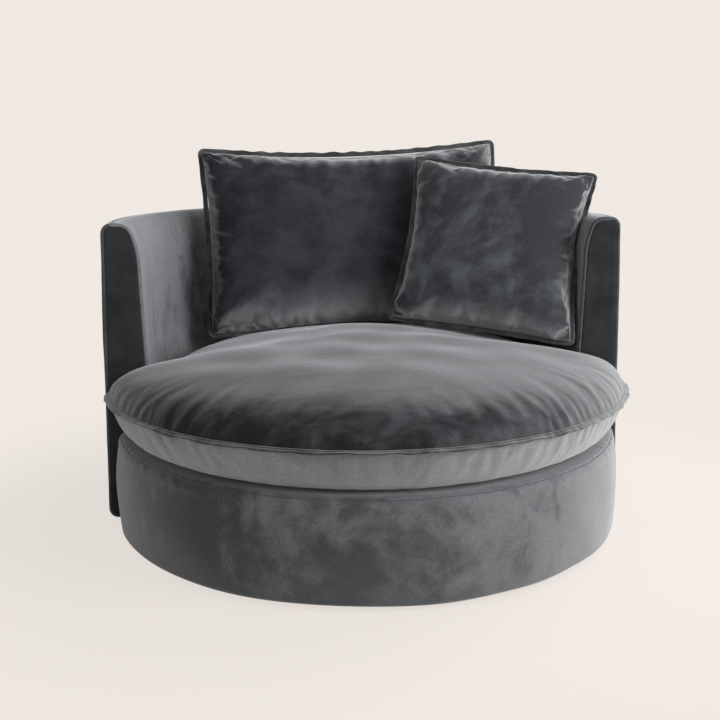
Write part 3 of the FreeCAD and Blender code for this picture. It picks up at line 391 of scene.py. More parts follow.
def makeArmEnd(side, sign):
    # The panel between the wrapped edges: rows go up the arm, columns from the inner to the outer seam,
    # padded forwards from a seam that is sunk all round
    depth = shell["endRound"] + 1.2
    low, high = shell["foot"] + depth, shell["height"] - depth
    inner = insideRun(depth)[::-1]
    inner = joinPath((shell["frameInner"], low), (shell["frameInner"], shell["deck"] - 1), inner)
    outer = outsideRun(depth)
    swing = np.linspace(0, math.pi, 30)
    rise = np.r_[low + 25 * (1 - np.cos(swing[:15])), np.linspace(low + 30, high - 40, 78),
                 high - 40 * (1 - np.sin(np.linspace(0, math.pi / 2, 18)[1:]))]
    rise = np.unique(np.clip(rise, low, high))
    near, far = (np.interp(rise, run[:, 1], run[:, 0])[:, None] for run in (inner, outer))
    across = (1 - np.cos(np.linspace(0, math.pi, 26))) / 2
    radius = near + (far - near) * across
    height = np.broadcast_to(rise[:, None], radius.shape)
    rim = np.minimum.reduce([radius - near, far - radius, height - low, high - height])
    ahead = -2.4 + 3.6 * (1 - np.exp(-rim / 3.0))
    spot = np.stack([radius, height], -1)
    ahead = ahead + ripple(spot, 160, 11 + sign) * 0.6 * np.clip(rim / 15, 0, 1)
    bearing = sign * math.radians(shell["endBearing"])
    along = np.array([math.sin(bearing), math.cos(bearing), 0])
    forward = np.array([math.cos(bearing), -math.sin(bearing), 0]) * sign
    base = radius[..., None] * along + height[..., None] * np.array([0, 0, 1.0])
    return pairedPiece(side + "ArmEnd", base + forward * ahead[..., None], base - forward * 8.0,
                       velvet["armEndVelvet"])


drum = {
    "foot": 12, "footRadius": 616, "shoulder": (618, 208), "bulge": 8, "seam": (611, 233), "edge": (598, 238),
    "edgeCurve": 40, "top": 238, "inner": 530.5, "step": 8, "unevenness": 1.3, "pucker": 0.9,
}


def drumSections(run, back, seamDistance, seed):
    # A cover's run and its way back, carried round the front from one arm's face to the other
    end = math.radians(shell["endBearing"]) + 0.0006
    count = round((2 * math.pi - 2 * end) * drum["footRadius"] / drum["step"])
    bearings = np.linspace(end, 2 * math.pi - end, count)
    tangent = np.gradient(run, axis=0)
    tangent /= np.linalg.norm(tangent, axis=1, keepdims=True)
    outward = np.stack([tangent[:, 1], -tangent[:, 0]], -1)
    points = aroundAxis(np.broadcast_to(run, (count,) + run.shape), bearings[:, None])
    arc = bearings[:, None] * drum["footRadius"] + 0 * seamDistance
    gather = ripple(np.stack([arc, 0.35 * seamDistance + 0 * arc], -1), 34, seed + 1)
    soft = (ripple(points, 230, seed) * drum["unevenness"] * np.clip(seamDistance / 40, 0.1, 1)
            + gather * drum["pucker"] * np.exp(-seamDistance / 16) * np.clip(seamDistance / 4, 0, 1))
    section = run + outward * soft[..., None]
    section = np.concatenate([section, np.broadcast_to(back, (count,) + back.shape)], 1)
    return aroundAxis(section, bearings[:, None])


def makeDrum():
    low, (shoulderRadius, shoulder), (seamRadius, seam) = drum["foot"], drum["shoulder"], drum["seam"]
    rise = shoulder - low
    swell = (rise * rise / 4 + drum["bulge"] ** 2) / (2 * drum["bulge"])
    side = evenPath(joinPath(
        (590.6, low), (drum["footRadius"] - 5, low),
        arcPoints((drum["footRadius"] - 4, low), (drum["footRadius"] + 0.4, low + 4.5), 5, 1, 5),
        arcPoints((drum["footRadius"] + 0.5, low + 5), (shoulderRadius, shoulder), swell, 1, 60),
        arcPoints((shoulderRadius, shoulder), (seamRadius + 0.6, seam - 1.2), drum["edgeCurve"], 1, 10),
        (seamRadius - 1.2, seam - 1.0), (seamRadius - 3.2, seam - 3.5)), 4)
    top = evenPath(joinPath(
        (seamRadius - 3.6, seam - 3.0), (seamRadius - 1.4, seam + 0.4), (seamRadius - 0.4, seam + 1.4),
        arcPoints((seamRadius - 1.6, seam + 2.2), drum["edge"], drum["edgeCurve"], 1, 8),
        (drum["inner"], drum["top"])), 4)
    sideSeam = np.linalg.norm(side - np.array(drum["seam"]), axis=1)
    topSeam = np.linalg.norm(top - np.array(drum["seam"]), axis=1)
    sideBack = np.array([(600, 226), (594.6, 208.6), (594.6, 14.6), (590.6, 14.6)])
    topBack = np.array([(drum["inner"], 208.6), (593, 208.6), (600, 227)])
    pieces = [sweptPiece("drumSide", drumSections(side, sideBack, sideSeam, 21), velvet["drumVelvet"]),
              sweptPiece("drumTop", drumSections(top, topBack, topSeam, 25), velvet["drumVelvet"])]
    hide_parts("base_side_cover", "base_front_foam")
    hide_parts("base_top_cover", "base_edge_foam")
    for piece in pieces:
        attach(piece, "chair")


def squareRings(reach):
    # A square grid read as nested rings: for each point its ring from 0 in the middle to 1 at the rim, and
    # how far round that ring it lies
    row, column = np.mgrid[-reach:reach + 1, -reach:reach + 1].astype(float)
    ring = np.maximum(abs(row), abs(column))
    safe = np.maximum(ring, 1)
    around = np.select(
        [(row == -ring) & (column < ring), (column == ring) & (row < ring), (row == ring) & (column > -ring)],
        [column + ring, row + 3 * ring, 5 * ring - column], 7 * ring - row)
    return ring / reach, around / (8 * safe) % 1.0


def puff(piece, held, settings):
    # The panels, cut a little larger than the form, are blown up with their seam held, so they pucker along it
    group = piece.vertex_groups.new(name="seam")
    group.add([int(index) for index in held], 1.0, "REPLACE")
    cloth = piece.modifiers.new("filling", "CLOTH")
    fabric = cloth.settings
    fabric.quality = 5
    fabric.mass = 0.3
    fabric.tension_stiffness = fabric.compression_stiffness = 22
    fabric.shear_stiffness = 8
    fabric.bending_stiffness = settings["bending"]
    fabric.use_pressure = True
    fabric.uniform_pressure_force = settings["pressure"]
    fabric.vertex_group_mass = "seam"
    fabric.shrink_min = -settings["spare"]
    fabric.effector_weights.gravity = 0
    cloth.collision_settings.use_collision = False
    cloth.point_cache.frame_start = 1
    cloth.point_cache.frame_end = settings["frames"]
    for moment in range(1, settings["frames"] + 1):
        scene.frame_set(moment)
    puffed = piece.evaluated_get(bpy.context.evaluated_depsgraph_get()).to_mesh()
    points = readPoints(puffed)
    piece.modifiers.remove(cloth)
    piece.vertex_groups.clear()
    scene.frame_set(1)
    return points


def readPoints(mesh):
    points = np.zeros(len(mesh.vertices) * 3, np.float32)
    mesh.vertices.foreach_get("co", points)
    return points.reshape(-1, 3).astype(float) / millimetre


def writePoints(mesh, points):
    mesh.vertices.foreach_set("co", (points * millimetre).astype(np.float32).ravel())
    mesh.update()


def relaxed(field, times):
    # Each inner point of a grid takes the mean of its four neighbours, again and again; the rim stays
    field = field.copy()
    for _ in range(times):
        field[1:-1, 1:-1] = (field[:-2, 1:-1] + field[2:, 1:-1] + field[1:-1, :-2] + field[1:-1, 2:]) / 4
    return field


def makeCushion(name, front, back, material, settings, nearSeam, finish):
    # Two panels sewn at their rim; the simulation gives the puckers, and the form keeps its fitted bulk.
    # nearSeam is 1 at the seam and falls inwards, where the filling holds the cloth smooth; finish is a function
    # that settles the points against what the cushion touches
    rows, columns = front.shape[:2]
    count = rows * columns
    inner = np.zeros((rows, columns), bool)
    inner[1:-1, 1:-1] = True
    first = np.arange(count).reshape(rows, columns)
    second = first.copy()
    second[inner] = count + np.arange(inner.sum())
    points = np.concatenate([front.reshape(-1, 3), back[inner]])
    faces = quadsOf(first).tolist() + quadsOf(second)[:, ::-1].tolist()
    piece = makePiece(name, points, faces, material)
    blown = puff(piece, first[~inner], settings)
    for sheet in (first, second):
        shift = blown[sheet] - points[sheet]
        shift -= settings["bulkLeft"] * relaxed(shift, settings["bulkSpan"])
        size = np.linalg.norm(shift, axis=-1, keepdims=True)
        shift *= np.minimum(1, settings["cap"] / np.maximum(size, 1e-9)) * nearSeam[..., None]
        points[sheet[1:-1, 1:-1]] += shift[1:-1, 1:-1]
    writePoints(piece.data, finish(points))
    subdivide(piece)
    faceOutwards(piece)
    return piece


def subdivide(piece):
    modifier = piece.modifiers.new("rounding", "SUBSURF")
    modifier.levels = modifier.render_levels = 1
    smoothed = bpy.data.meshes.new_from_object(piece.evaluated_get(bpy.context.evaluated_depsgraph_get()))
    piece.modifiers.remove(modifier)
    old, piece.data = piece.data, smoothed
    bpy.data.meshes.remove(old)
    smoothed.name = piece.name


def flangeSections(path, away, up, seed, tilt):
    # A flat self piping carried along the seam: stitched close to the panels, full at its folded rim, and wavy
    outline = np.array(flange["outline"])
    outline = np.concatenate([outline, outline[-2:0:-1] * (1, -1)])
    broad = ripple(path, 46, seed)[:, None] * flange["uneven"]
    thick = 1 + ripple(path, 22, seed + 1)[:, None] * 0.16
    lift = ripple(path, 95, seed + 2) * flange["wave"] + ripple(path, 34, seed + 3) * flange["wave"] * 0.4
    lean = tilt + ripple(path, 150, seed + 4) * flange["lean"]
    out = outline[:, 0] * (1 + broad * np.clip(outline[:, 0] / outline[:, 0].max(), 0, 1))
    high = outline[:, 1] * thick + lift[:, None] * np.clip(outline[:, 0] / 10, 0, 1)
    cosine, sine = np.cos(lean)[:, None], np.sin(lean)[:, None]
    reach = out * cosine + high * sine
    rise = high * cosine - out * sine
    return path[:, None, :] + away[:, None, :] * reach[..., None] + up[:, None, :] * rise[..., None]


flange = {
    # half of the flat piping's section, from the panels outwards: distance out, half thickness
    "outline": ((-2.5, 0), (-2.0, 1.6), (0.4, 2.1), (1.6, 1.3), (2.4, 0.8), (3.4, 1.3), (5.6, 1.8), (8.2, 2.0),
                (9.8, 1.7), (10.7, 0.9), (11.0, 0)),
    "uneven": 0.09, "wave": 1.3, "lean": 0.14,
}

seat = {
    "front": 650, "rear": 527, "notchGap": 3, "seam": 342, "crown": 120, "deckTop": 238.7, "edge": 10,
    "notchWidening": 0.12, "earSoftness": 0.0032, "crownSoftness": 0.03, "rings": 62,
    "crownShares": (0, 0.22, 0.44, 0.61, 0.76, 0.88, 0.96, 1), "crownFront": (0, 6, 30, 72, 140, 230, 330, 420),
    "crownRear": (0, 8, 50, 120, 215, 300, 360, 380),
    "underShares": (0, 0.27, 0.63, 0.88, 1), "underFront": (0, 7, 22, 44, 76), "underRear": (0, 4, 12, 24, 40),
    "droop": 0.45, "reach": 690, "perimeter": 3925, "folds": (2.0, 3.0),   # depth of the folds above and below
    "zipRadius": 521, "zipHalfAngle": 34, "zipDrop": 4.0,
    "puff": {"pressure": 3.5, "spare": 0.012, "bending": 1.2, "frames": 16, "cap": 7, "bulkLeft": 1.0,
             "bulkSpan": 24, "fill": 0.85},
}


def seatRing(around, drawnFront, drawnRear, scale):
    # The T-shaped outline at one level: a wide arc in front of the arms, a notch line along each arm's face
    # and an arc inside the shell, drawn in by the given amounts; around goes from 0 to 1
    end = math.radians(shell["endBearing"])
    wide = seat["front"] - seat["edge"] - drawnFront
    small = seat["rear"] - seat["edge"] - drawnRear
    gap = seat["notchGap"] + seat["edge"] + seat["notchWidening"] * drawnFront
    wideEnd, smallEnd = end + np.arcsin(gap / wide), end + np.arcsin(gap / small)
    stops = np.array((0, 0.495, 0.526, 0.969, 1.0))
    share = np.clip((around[..., None] - stops[:-1]) / np.diff(stops), 0, 1)
    front = 2 * math.pi - wideEnd + share[..., 0] * (2 * wideEnd - 2 * math.pi)
    rear = smallEnd - 2 * smallEnd * share[..., 2]
    radius = np.select([around < stops[1], around < stops[2], around < stops[3]], [wide, wide, small], small)
    bearing = np.select([around < stops[1], around < stops[2], around < stops[3]],
                        [front, wideEnd, rear], -smallEnd)
    spot = np.stack([radius * np.sin(bearing), radius * np.cos(bearing)], -1)
    for low, side, amount in ((1, 1, share[..., 1]), (3, -1, share[..., 3])):
        ends = [np.stack([side * r * np.sin(b), r * np.cos(b)], -1)
                for r, b in ((wide, wideEnd), (small, smallEnd))]
        start, finish = ends if side == 1 else ends[::-1]
        there = (around >= stops[low]) & (around < stops[low + 1])
        spot = np.where(there[..., None], start + (finish - start) * amount[..., None], spot)
    return spot * scale[..., None]


def seatPanel(side):
    # One panel as nested rings from its middle to the seam: each ring is the outline at its level, its ears
    # softened, and the levels lie at even distances along the front
    names = ("crownShares", "crownFront", "crownRear") if side > 0 else ("underShares", "underFront", "underRear")
    shares, front, rear = (seat[name] for name in names)
    depth = seat["crown"] if side > 0 else seat["deckTop"] - seat["seam"]
    fine = np.linspace(0, 1, 3000)
    drawn = smoothCurve(fine, shares, front)
    length = np.r_[0, np.cumsum(np.hypot(np.diff(drawn), np.diff(fine) * depth))]
    flat = seat["front"] - seat["edge"] - drawn[-1]
    levels = np.linspace(length[-1] + flat, 0, seat["rings"] + 1)[:, None]
    share = np.interp(levels, length, fine)
    scale = np.clip((length[-1] + flat - levels) / flat, 0, 1)
    count = 1440
    around = np.arange(count)[None, :] / count
    spot = seatRing(around + 0 * share, smoothCurve(share, shares, front), smoothCurve(share, shares, rear), scale)
    softness = seat["earSoftness"] + seat["crownSoftness"] * (share if side > 0 else 0 * share)
    blur = np.exp(-(2 * math.pi * softness * np.fft.fftfreq(count, 1 / count)) ** 2 / 2)
    spot = np.fft.ifft(np.fft.fft(spot, axis=1) * blur[..., None], axis=1).real
    height = seat["seam"] + depth * share + (6 * (1 - scale ** 2) if side > 0 else 0)
    table = np.concatenate([spot, np.broadcast_to(height[..., None], spot.shape[:2] + (1,))], -1)
    ring, turn = squareRings(seat["rings"])
    level = np.rint(ring * seat["rings"]).astype(int)
    at = turn * count
    low = np.floor(at).astype(int)
    part = (at - low)[..., None]
    return table[level, low % count] * (1 - part) + table[level, (low + 1) % count] * part, ring, turn


def crownHeight(spot):
    # Height of the crown over a point: the highest level whose outline still holds it, in front of the arms
    # or inside the shell
    radius = np.hypot(spot[..., 0], spot[..., 1])
    end = math.radians(shell["endBearing"])
    ahead = math.cos(end) * abs(spot[..., 0]) - math.sin(end) * spot[..., 1]
    fine = np.linspace(0, 1, 600)
    front, rear = (smoothCurve(fine, seat["crownShares"], seat[name]) for name in ("crownFront", "crownRear"))
    edge = seat["edge"]
    wide = np.interp(seat["front"] - edge - radius, front, fine)
    notch = np.interp((ahead - seat["notchGap"] - edge) / seat["notchWidening"], front, fine)
    small = np.interp(seat["rear"] - edge - radius, rear, fine)
    return seat["seam"] + seat["crown"] * np.maximum(np.minimum(wide, notch), small)


def wallRadius(height):
    # Inner face of the shell at a height
    run = insideRun(0)[::-1]
    return np.interp(height, run[:, 1], run[:, 0])


def gathers(ring, turn, depth, seed):
    # Short folds that run in from the seam and die out, in clusters, as the longer panel is eased into it
    inward = (1 - ring) * seat["reach"]
    bearing = turn * 2 * math.pi
    spread = np.stack([np.cos(bearing), np.sin(bearing)], -1) * seat["perimeter"] / (2 * math.pi)
    slant = np.stack([spread[..., 0] + 0.25 * inward, spread[..., 1] - 0.25 * inward], -1)
    folds = ripple(slant, 40, seed) + 0.6 * ripple(slant, 25, seed + 1)
    cluster = np.clip(0.35 + 0.8 * ripple(spread, 240, seed + 2), 0.05, 1.4)
    return depth * folds * cluster * np.exp(-inward / 26) * (1 - np.exp(-inward / 6))


def makeSeat():
    top, ring, turn = seatPanel(1)
    under = seatPanel(-1)[0]
    outward = top[..., :2] / np.maximum(np.linalg.norm(top[..., :2], axis=-1, keepdims=True), 1)
    crownFolds, underFolds = seat["folds"]
    top[..., :2] += outward * gathers(ring, turn, crownFolds, 41)[..., None]
    under[..., :2] += outward * gathers(ring, turn, underFolds, 45)[..., None]

    def settle(points):
        points[:, 2] = np.maximum(points[:, 2], seat["deckTop"])
        points[:, 2] += ripple(points[:, :2], 210, 47) * 1.6 * np.clip((points[:, 2] - 380) / 60, 0, 1)
        return points

    cushion = makeCushion("seatCushion", top, under, velvet["crownVelvet"], seat["puff"], ring ** 7, settle)
    # painted light: faces under the seam take a lighter copy of the velvet, fitted to how light fell on them
    cushion.data.materials.append(velvet["underVelvet"])
    middle = np.zeros(len(cushion.data.polygons) * 3, np.float32)
    cushion.data.polygons.foreach_get("center", middle)
    paintedLightBelow = middle.reshape(-1, 3)[:, 2] < seat["seam"] * millimetre
    cushion.data.polygons.foreach_set("material_index", paintedLightBelow.astype(np.int32))
    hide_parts("seat_top_panel", "seat_bottom_panel", "seat_foam_core", "seat_fibre_wrap")
    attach(cushion, "seat_cushion")
    around = np.arange(1000) / 1000
    none = np.zeros_like(around)
    fineRing = np.concatenate([seatRing(around, none, none, none + 1), np.full((1000, 1), float(seat["seam"]))], 1)
    blur = np.exp(-(2 * math.pi * seat["earSoftness"] * np.fft.fftfreq(1000, 1 / 1000)) ** 2 / 2)
    fineRing[:, :2] = np.fft.ifft(np.fft.fft(fineRing[:, :2], axis=0) * blur[:, None], axis=0).real
    makeFlange("seatPiping", fineRing, np.array([0, 0, 1.0]), seat["droop"], 51, "seat_cushion", ("seat_piping",))
    rear = np.radians(np.linspace(-seat["zipHalfAngle"], seat["zipHalfAngle"], 560))
    zipHeight = np.full_like(rear, seat["seam"] - seat["zipDrop"])
    line = np.stack([seat["zipRadius"] * np.sin(rear), seat["zipRadius"] * np.cos(rear), zipHeight], -1)
    makeZip("seatZip", line, np.array([0, 0, 1.0]), "seat_cushion", "seat_zip")


def makeFlange(name, path, up, tilt, seed, body, replaced):
    # The seam's own outward direction lies in the cushion's plane, square to the seam
    tangent = np.roll(path, -1, 0) - np.roll(path, 1, 0)
    away = np.cross(tangent, up)
    away /= np.linalg.norm(away, axis=1, keepdims=True)
    if ((path - path.mean(0)) * away).sum() < 0:
        away = -away
    ups = np.broadcast_to(up, path.shape)
    piece = sweptPiece(name, flangeSections(path, away, ups, seed, tilt), velvet["flangeVelvet"], joined=True)
    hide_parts(*replaced)
    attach(piece, body)


zipper = {"pitch": 2.4, "coil": (2.3, 1.3), "ridge": 0.22, "slider": 11, "sliderSwell": 1.9}


def makeZip(name, line, up, body, node):
    # A closed coil zip in the seam: an oval tube whose size rises and falls with each tooth, and swells into the
    # slider at one end
    tangent = np.gradient(line, axis=0)
    tangent /= np.linalg.norm(tangent, axis=1, keepdims=True)
    away = np.cross(tangent, up)
    away /= np.linalg.norm(away, axis=1, keepdims=True)
    length = np.r_[0, np.cumsum(np.linalg.norm(np.diff(line, axis=0), axis=1))]
    tooth = 1 + zipper["ridge"] * np.cos(2 * math.pi * length / zipper["pitch"])
    swell = np.clip((zipper["slider"] - abs(length - length[-1] + 14)) / 3, 0, 1)
    size = (tooth + (zipper["sliderSwell"] - 1) * swell)[:, None, None]
    oval = np.linspace(0, 2 * math.pi, 9)[:-1][None, :, None]
    wide, thick = zipper["coil"]
    sections = line[:, None, :] + size * (np.cos(oval) * wide * away[:, None, :] + np.sin(oval) * thick * up)
    piece = sweptPiece(name, sections, zipNylon)
    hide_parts(node)
    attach(piece, body)


backCushion = {
    "cloth": "backVelvet",
    "width": 852, "tall": 526, "depth": 200, "place": (12, 331, 676), "turn": 4, "lean": 13.2, "roll": 1.4,
    "bow": (10, 25, 3), "ear": 2, "grid": (66, 40), "pads": ("back_cushion_pad", "back_cushion_front_panel",
                                                       "back_cushion_rear_panel"),
    "trim": "back_cushion_piping", "zip": "back_cushion_zip", "zipLength": 600, "body": "back_cushion",
    "puff": {"pressure": 4.0, "spare": 0.04, "bending": 0.6, "frames": 18, "cap": 14, "bulkLeft": 0.8,
             "bulkSpan": 60, "fill": 0.75},
}
scatterCushion = {
    "cloth": "scatterVelvet",
    "width": 500, "tall": 462, "depth": 150, "place": (349, 112, 659), "turn": -22, "lean": 18.2, "roll": -5.6,
    "bow": (21, 9, 5), "ear": 2, "grid": (44, 42), "pads": ("scatter_pad", "scatter_front_panel",
                                                        "scatter_rear_panel"),
    "trim": "scatter_piping", "zip": "scatter_zip", "zipLength": 380, "body": "scatter_cushion",
    "puff": {"pressure": 4.0, "spare": 0.045, "bending": 0.8, "frames": 20, "cap": 12, "bulkLeft": 0.85,
             "bulkSpan": 30, "fill": 0.7},
}


def turning(cushion):
    # Stands the flat cushion up facing -Y, turns it about the vertical, leans it back and rolls it in its plane
    turn, lean, roll = (math.radians(cushion[key]) for key in ("turn", "lean", "roll"))
    return np.array(Matrix.Rotation(turn, 3, "Z") @ Matrix.Rotation(math.pi / 2 - lean, 3, "X")
                    @ Matrix.Rotation(roll, 3, "Z"))


def pillowSpot(cushion, across, up):
    # Where a point of the square from -1 to 1 lies in the flat cushion: sides bowed in, ears drawn in a little
    halfWidth, halfTall = cushion["width"] / 2 - 10, cushion["tall"] / 2 - 10
    sideBow, topBow, footBow = cushion["bow"]
    endBow = np.where(up > 0, topBow, footBow)
    ear = cushion["ear"] * (across * up) ** 12
    x = across * (halfWidth - ear) - np.sign(across) * sideBow * (1 - up ** 2) * abs(across) ** 3
    y = up * (halfTall - ear) - np.sign(up) * endBow * (1 - across ** 2) * abs(up) ** 3
    return x, y


def pillowDepth(cushion, across, up):
    # Half depth over a point: each way it rises from the seam as (1 - (1 - t)^2.4)^0.4, t the distance from the
    # seam over half the height
    halfWidth, halfTall = cushion["width"] / 2, cushion["tall"] / 2
    rise = 1.0
    for share, half in ((across, halfWidth), (up, halfTall)):
        t = np.clip((1 - abs(share)) * half / halfTall, 0, 1)
        rise = rise * (1 - (1 - t) ** 2.4) ** 0.4
    return cushion["depth"] / 2 * rise


def makePillow(name, cushion, seed):
    columns, rows = cushion["grid"]
    across, up = np.meshgrid(np.sin(np.linspace(-1, 1, 2 * columns + 1) * 1.25) / math.sin(1.25),
                             np.sin(np.linspace(-1, 1, 2 * rows + 1) * 1.25) / math.sin(1.25))
    x, y = pillowSpot(cushion, across, up)
    bulk = pillowDepth(cushion, across, up)
    edge = np.minimum((1 - abs(across)) * cushion["width"], (1 - abs(up)) * cushion["tall"]) / 2
    nearer = np.where((1 - abs(across)) * cushion["width"] < (1 - abs(up)) * cushion["tall"], y, x)
    folds = ripple(np.stack([nearer + 0.2 * edge, 3 * np.sign(across)], -1), 46, seed)
    folds = folds * np.clip(0.4 + ripple(np.stack([x, y], -1), 260, seed + 1), 0, 1.4)
    folds = folds * 2.2 * np.exp(-edge / 30) * (1 - np.exp(-edge / 8))
    front = np.stack([x, y, bulk + folds], -1)
    back = np.stack([x, y, -bulk + folds], -1)
    turned = turning(cushion)
    place = np.array(cushion["place"], float)
    front, back = (sheet @ turned.T + place for sheet in (front, back))

    def settle(points):
        return rest(points, 1.5)

    piece = makeCushion(name, front, back, velvet[cushion["cloth"]], cushion["puff"],
                        0.22 + 0.78 * np.exp(-edge / 60), settle)
    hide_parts(*cushion["pads"])
    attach(piece, cushion["body"])
    side = np.linspace(-1, 1, 161)[:-1]
    one = np.ones_like(side)
    pairs = ((side, -one), (one, side), (-side, one), (-one, -side))
    around = np.concatenate([np.stack(pair, -1) for pair in pairs])
    x, y = pillowSpot(cushion, around[:, 0], around[:, 1])
    path = np.stack([x, y, 0 * x], -1)
    path = closedSmooth(path, 3) @ turned.T + place
    facing = turned @ np.array([0, 0, 1.0])
    makeFlange(name + "Piping", rest(path, 4), facing, 0.0, seed + 5, cushion["body"], (cushion["trim"],))
    reach = np.linspace(-1, 1, round(cushion["zipLength"] / 1.1)) * cushion["zipLength"] / cushion["width"]
    x, y = pillowSpot(cushion, reach, -np.ones_like(reach))
    line = np.stack([x, y, 0 * x - 4.5], -1) @ turned.T + place
    makeZip(name + "Zip", rest(line, 5), facing, cushion["body"], cushion["zip"])


def closedSmooth(path, times):
    for _ in range(times):
        path = (np.roll(path, 1, 0) + 2 * path + np.roll(path, -1, 0)) / 4
    return path


def rest(points, clear):
    # Nothing sinks into the seat's crown or the shell's wall: the cushion flattens where it touches them
    points = points.copy()
    floor = crownHeight(points) + clear
    points[:, 2] = np.where(points[:, 2] < floor, floor + 0.04 * (points[:, 2] - floor), points[:, 2])
    radius = np.hypot(points[:, 0], points[:, 1])
    limit = wallRadius(points[:, 2]) - clear
    press = np.where((radius > limit) & (points[:, 2] < shell["height"] - 20), limit / np.maximum(radius, 1), 1)
    points[:, :2] *= press[:, None]
    return points


deck = {"radius": 526, "low": 211, "top": 237.9, "edge": 9, "slack": 1.6}
dustCover = {"outer": 588, "inner": 300, "height": 39.2, "thickness": 0.5, "sag": 0.7}


def makeDeckCloth():
    # The deck's padded cloth, turned about the swivel axis: flat with soft dips, rounded at its rim
    radius, low, top, edge = deck["radius"], deck["low"], deck["top"], deck["edge"]
    run = evenPath(joinPath(
        (0.0, low), (radius - edge, low), arcPoints((radius - edge, low), (radius, low + edge), edge, 1, 6),
        arcPoints((radius, top - edge), (radius - edge, top), edge, 1, 6), (0.0, top)), 9)
    bearing = np.linspace(0, 2 * math.pi, 181)[:-1][:, None]
    points = aroundAxis(np.broadcast_to(run, (180,) + run.shape), bearing)
    upper = np.clip((points[..., 2] - low - edge) / 10, 0, 1) * np.clip((radius - run[:, 0]) / 40, 0, 1)
    points[..., 2] -= upper * deck["slack"] * (1 + ripple(points[..., :2], 130, 91)) * 0.5
    index = np.arange(points[..., 0].size).reshape(points.shape[:2])
    faces = quadsOf(np.vstack([index, index[:1]])).tolist()
    piece = faceOutwards(makePiece("deckCloth", points, faces, deckFabric), 1e-5)
    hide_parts("deck_cover", "deck_pad")
    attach(piece, "chair")


def makeDustCover():
    # Thin cloth under the drum's board: a ring held at its two rims that sags a little between them
    outer, inner, sag = dustCover["outer"], dustCover["inner"], dustCover["sag"]
    share = np.linspace(0, 1, 41)
    bearing = np.linspace(0, 2 * math.pi, 289)[:-1][:, None]
    radius = inner + (outer - inner) * share
    held = np.sin(math.pi * share) * (1 + 0.5 * np.sin(bearing * 36) * (share - 0.5))
    height = dustCover["height"] - sag * held
    upper = np.stack([radius + 0 * bearing, height], -1)
    lower = (upper - (0, dustCover["thickness"]))[:, ::-1]
    sections = aroundAxis(np.concatenate([upper, lower], 1), bearing)
    piece = sweptPiece("dustCover", sections, dustFabric, joined=True)
    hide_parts("dust_cover")
    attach(piece, "chair")


hidden = {
    # slot: material, darker and lighter tone, size of the pattern along x, y and z in mm, roughness, metallic,
    # depth of the bump in mm
    "plywood": ("birchPlywood", "#A98A5E", "#D2B58A", (60, 6, 1.5), 0.6, 0, 0.15),
    "timber": ("planedBeech", "#A67C50", "#C99E6E", (5, 5, 90), 0.5, 0, 0.12),
    "hardboard": ("pressedHardboard", "#4A3220", "#6C4A30", (3, 3, 3), 0.55, 0, 0.1),
    "felt": ("needledFelt", "#3F4041", "#67686A", (2, 2, 1), 0.95, 0, 0.5),
    "webbing": ("elasticWebbing", "#17181A", "#34363A", (2.2, 2.2, 2.2), 0.8, 0, 0.3),
    "steel": ("zincPlatedSteel", "#8E9196", "#B4B7BA", (14, 14, 14), 0.38, 1, 0.02),
    "ball_steel": ("polishedBallSteel", "#B9BABD", "#CFD0D2", (8, 8, 8), 0.12, 1, 0.0),
    "nylon": ("mouldedNylon", "#CFCDC4", "#DEDCD4", (10, 10, 10), 0.42, 0, 0.03),
}


def makeHidden(name, dark, light, size, rough, metal, depth):
    # One noise, stretched to the material's own grain size, for the colour, the gloss and a fine relief. It stands
    # for wood grain, fibres and the cloudy spangle of zinc; it draws no woven threads
    material, tree = newMaterial(name)
    place = addNode(tree, "TexCoord").outputs["Object"]
    grain = addNode(tree, "Mapping", {"Scale": tuple(1000 / each for each in size)}, {"Vector": place})
    noise = addNode(tree, "TexNoise", {"Scale": 1.0, "Detail": 6.0, "Roughness": 0.62, "Distortion": 0.3},
                    {"Vector": grain.outputs[0]})
    broad = addNode(tree, "TexNoise", {"Scale": 9.0, "Detail": 2.0}, {"Vector": place})
    share = addNode(tree, "Math", {"operation": "MULTIPLY_ADD", 1: 0.35, 2: -0.17}, {0: broad.outputs[0]})
    share = addNode(tree, "Math", {"operation": "ADD", "use_clamp": True},
                    {0: noise.outputs[0], 1: share.outputs[0]})
    colour = addNode(tree, "Mix", {"data_type": "RGBA", 6: linear(dark), 7: linear(light)}, {0: share.outputs[0]})
    gloss = addNode(tree, "MapRange", {"To Min": rough * 0.8, "To Max": min(1, rough * 1.2)},
                    {"Value": noise.outputs[0]})
    bump = addNode(tree, "Bump", {"Strength": 0.6, "Distance": max(depth, 0.001) * millimetre},
                   {"Height": noise.outputs[0]})
    shader = addNode(tree, "BsdfPrincipled", {"Metallic": metal},
                     {"Base Color": colour.outputs[2], "Roughness": gloss.outputs[0], "Normal": bump.outputs[0]})
    addNode(tree, "OutputMaterial", (), {"Surface": shader.outputs[0]})
    return material


zipNylon = makeHidden("dyedNylonCoil", "#121314", "#26282A", (3, 3, 3), 0.45, 0, 0.05)   # satin black coil
deckFabric = makeHidden("plainWovenDeckCloth", "#1B1C1E", "#34363A", (1.5, 1.5, 1.5), 0.9, 0, 0.3)
dustFabric = makeHidden("nonWovenDustCloth", "#0F1011", "#232427", (4, 4, 4), 0.92, 0, 0.2)   # matt felted fibres


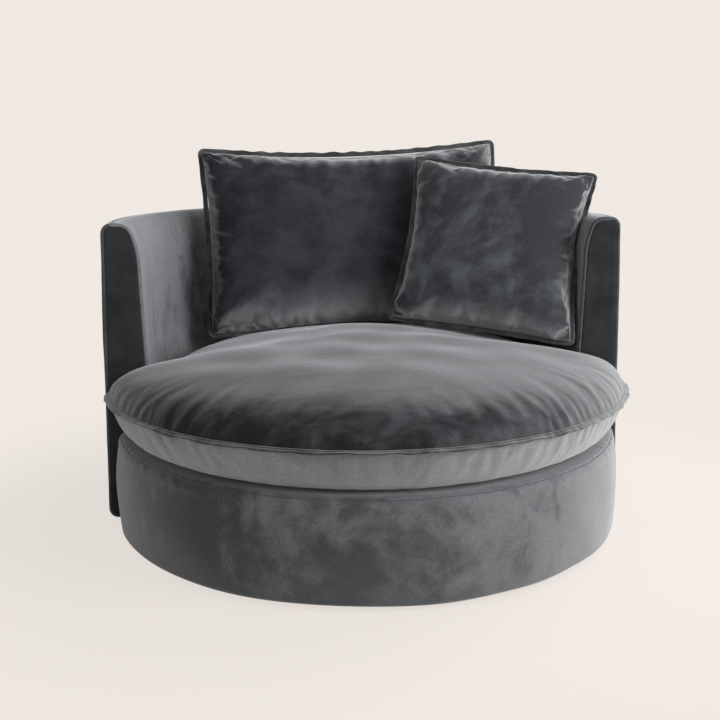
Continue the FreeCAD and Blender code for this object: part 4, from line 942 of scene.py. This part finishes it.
def finishHidden():
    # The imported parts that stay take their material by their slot
    made = {slot: makeHidden(*facts) for slot, facts in hidden.items()}
    for node in nodes.values():
        for place in node.material_slots:
            if place.material and place.material.name in made:
                place.material = made[place.material.name]


def makeFloor():
    # Rings of points out to the floor's radius, closer together near the chair
    reach = np.r_[0, np.geomspace(200, studio["floorRadius"], 24)][:, None]
    bearing = np.linspace(0, 2 * math.pi, 97)[:-1][None, :]
    points = np.stack([reach * np.sin(bearing), reach * np.cos(bearing), 0 * reach * bearing], -1)
    index = np.arange(points.shape[0] * 96).reshape(points.shape[0], 96)
    index = np.hstack([index, index[:, :1]])
    # studio paper: the camera sees mostly its plain self-lit colour, and the rest takes light and shadow
    material, tree = newMaterial("mattPaper")
    place = addNode(tree, "TexCoord").outputs["Object"]
    distance = addNode(tree, "VectorMath", {"operation": "LENGTH"}, {0: place})
    plain = addNode(tree, "MapRange", {
        "interpolation_type": "SMOOTHSTEP", "From Min": 0.75, "From Max": studio["plainFrom"] * millimetre,
        "To Min": studio["nearGlow"], "To Max": 1.0}, {"Value": distance.outputs["Value"]})
    ray = addNode(tree, "LightPath")
    share = addNode(tree, "Math", {"operation": "MULTIPLY"}, {0: plain.outputs[0], 1: ray.outputs["Is Camera Ray"]})
    matt = addNode(tree, "BsdfDiffuse", {"Color": linear(studio["paper"])})
    glow = addNode(tree, "Emission", {"Color": linear(studio["paper"]), "Strength": 1})
    mix = addNode(tree, "MixShader", (), {0: share.outputs[0], 1: matt.outputs[0], 2: glow.outputs[0]})
    addNode(tree, "OutputMaterial", (), {"Surface": mix.outputs[0]})
    floor = makePiece("studioFloor", points, quadsOf(index).tolist(), material)
    faceOutwards(floor)


placeCamera()
lightStudio()
makeFloor()
print("studio ready")
finishHidden()
makeDeckCloth()
makeDustCover()
print("frame, deck and dust cover finished")
makeShell()
print("shell covered")
makeDrum()
print("drum covered")
makeSeat()
print("seat cushion made")
makePillow("backCushion", backCushion, 61)
makePillow("scatterCushion", scatterCushion, 71)
print("back and scatter cushions made")
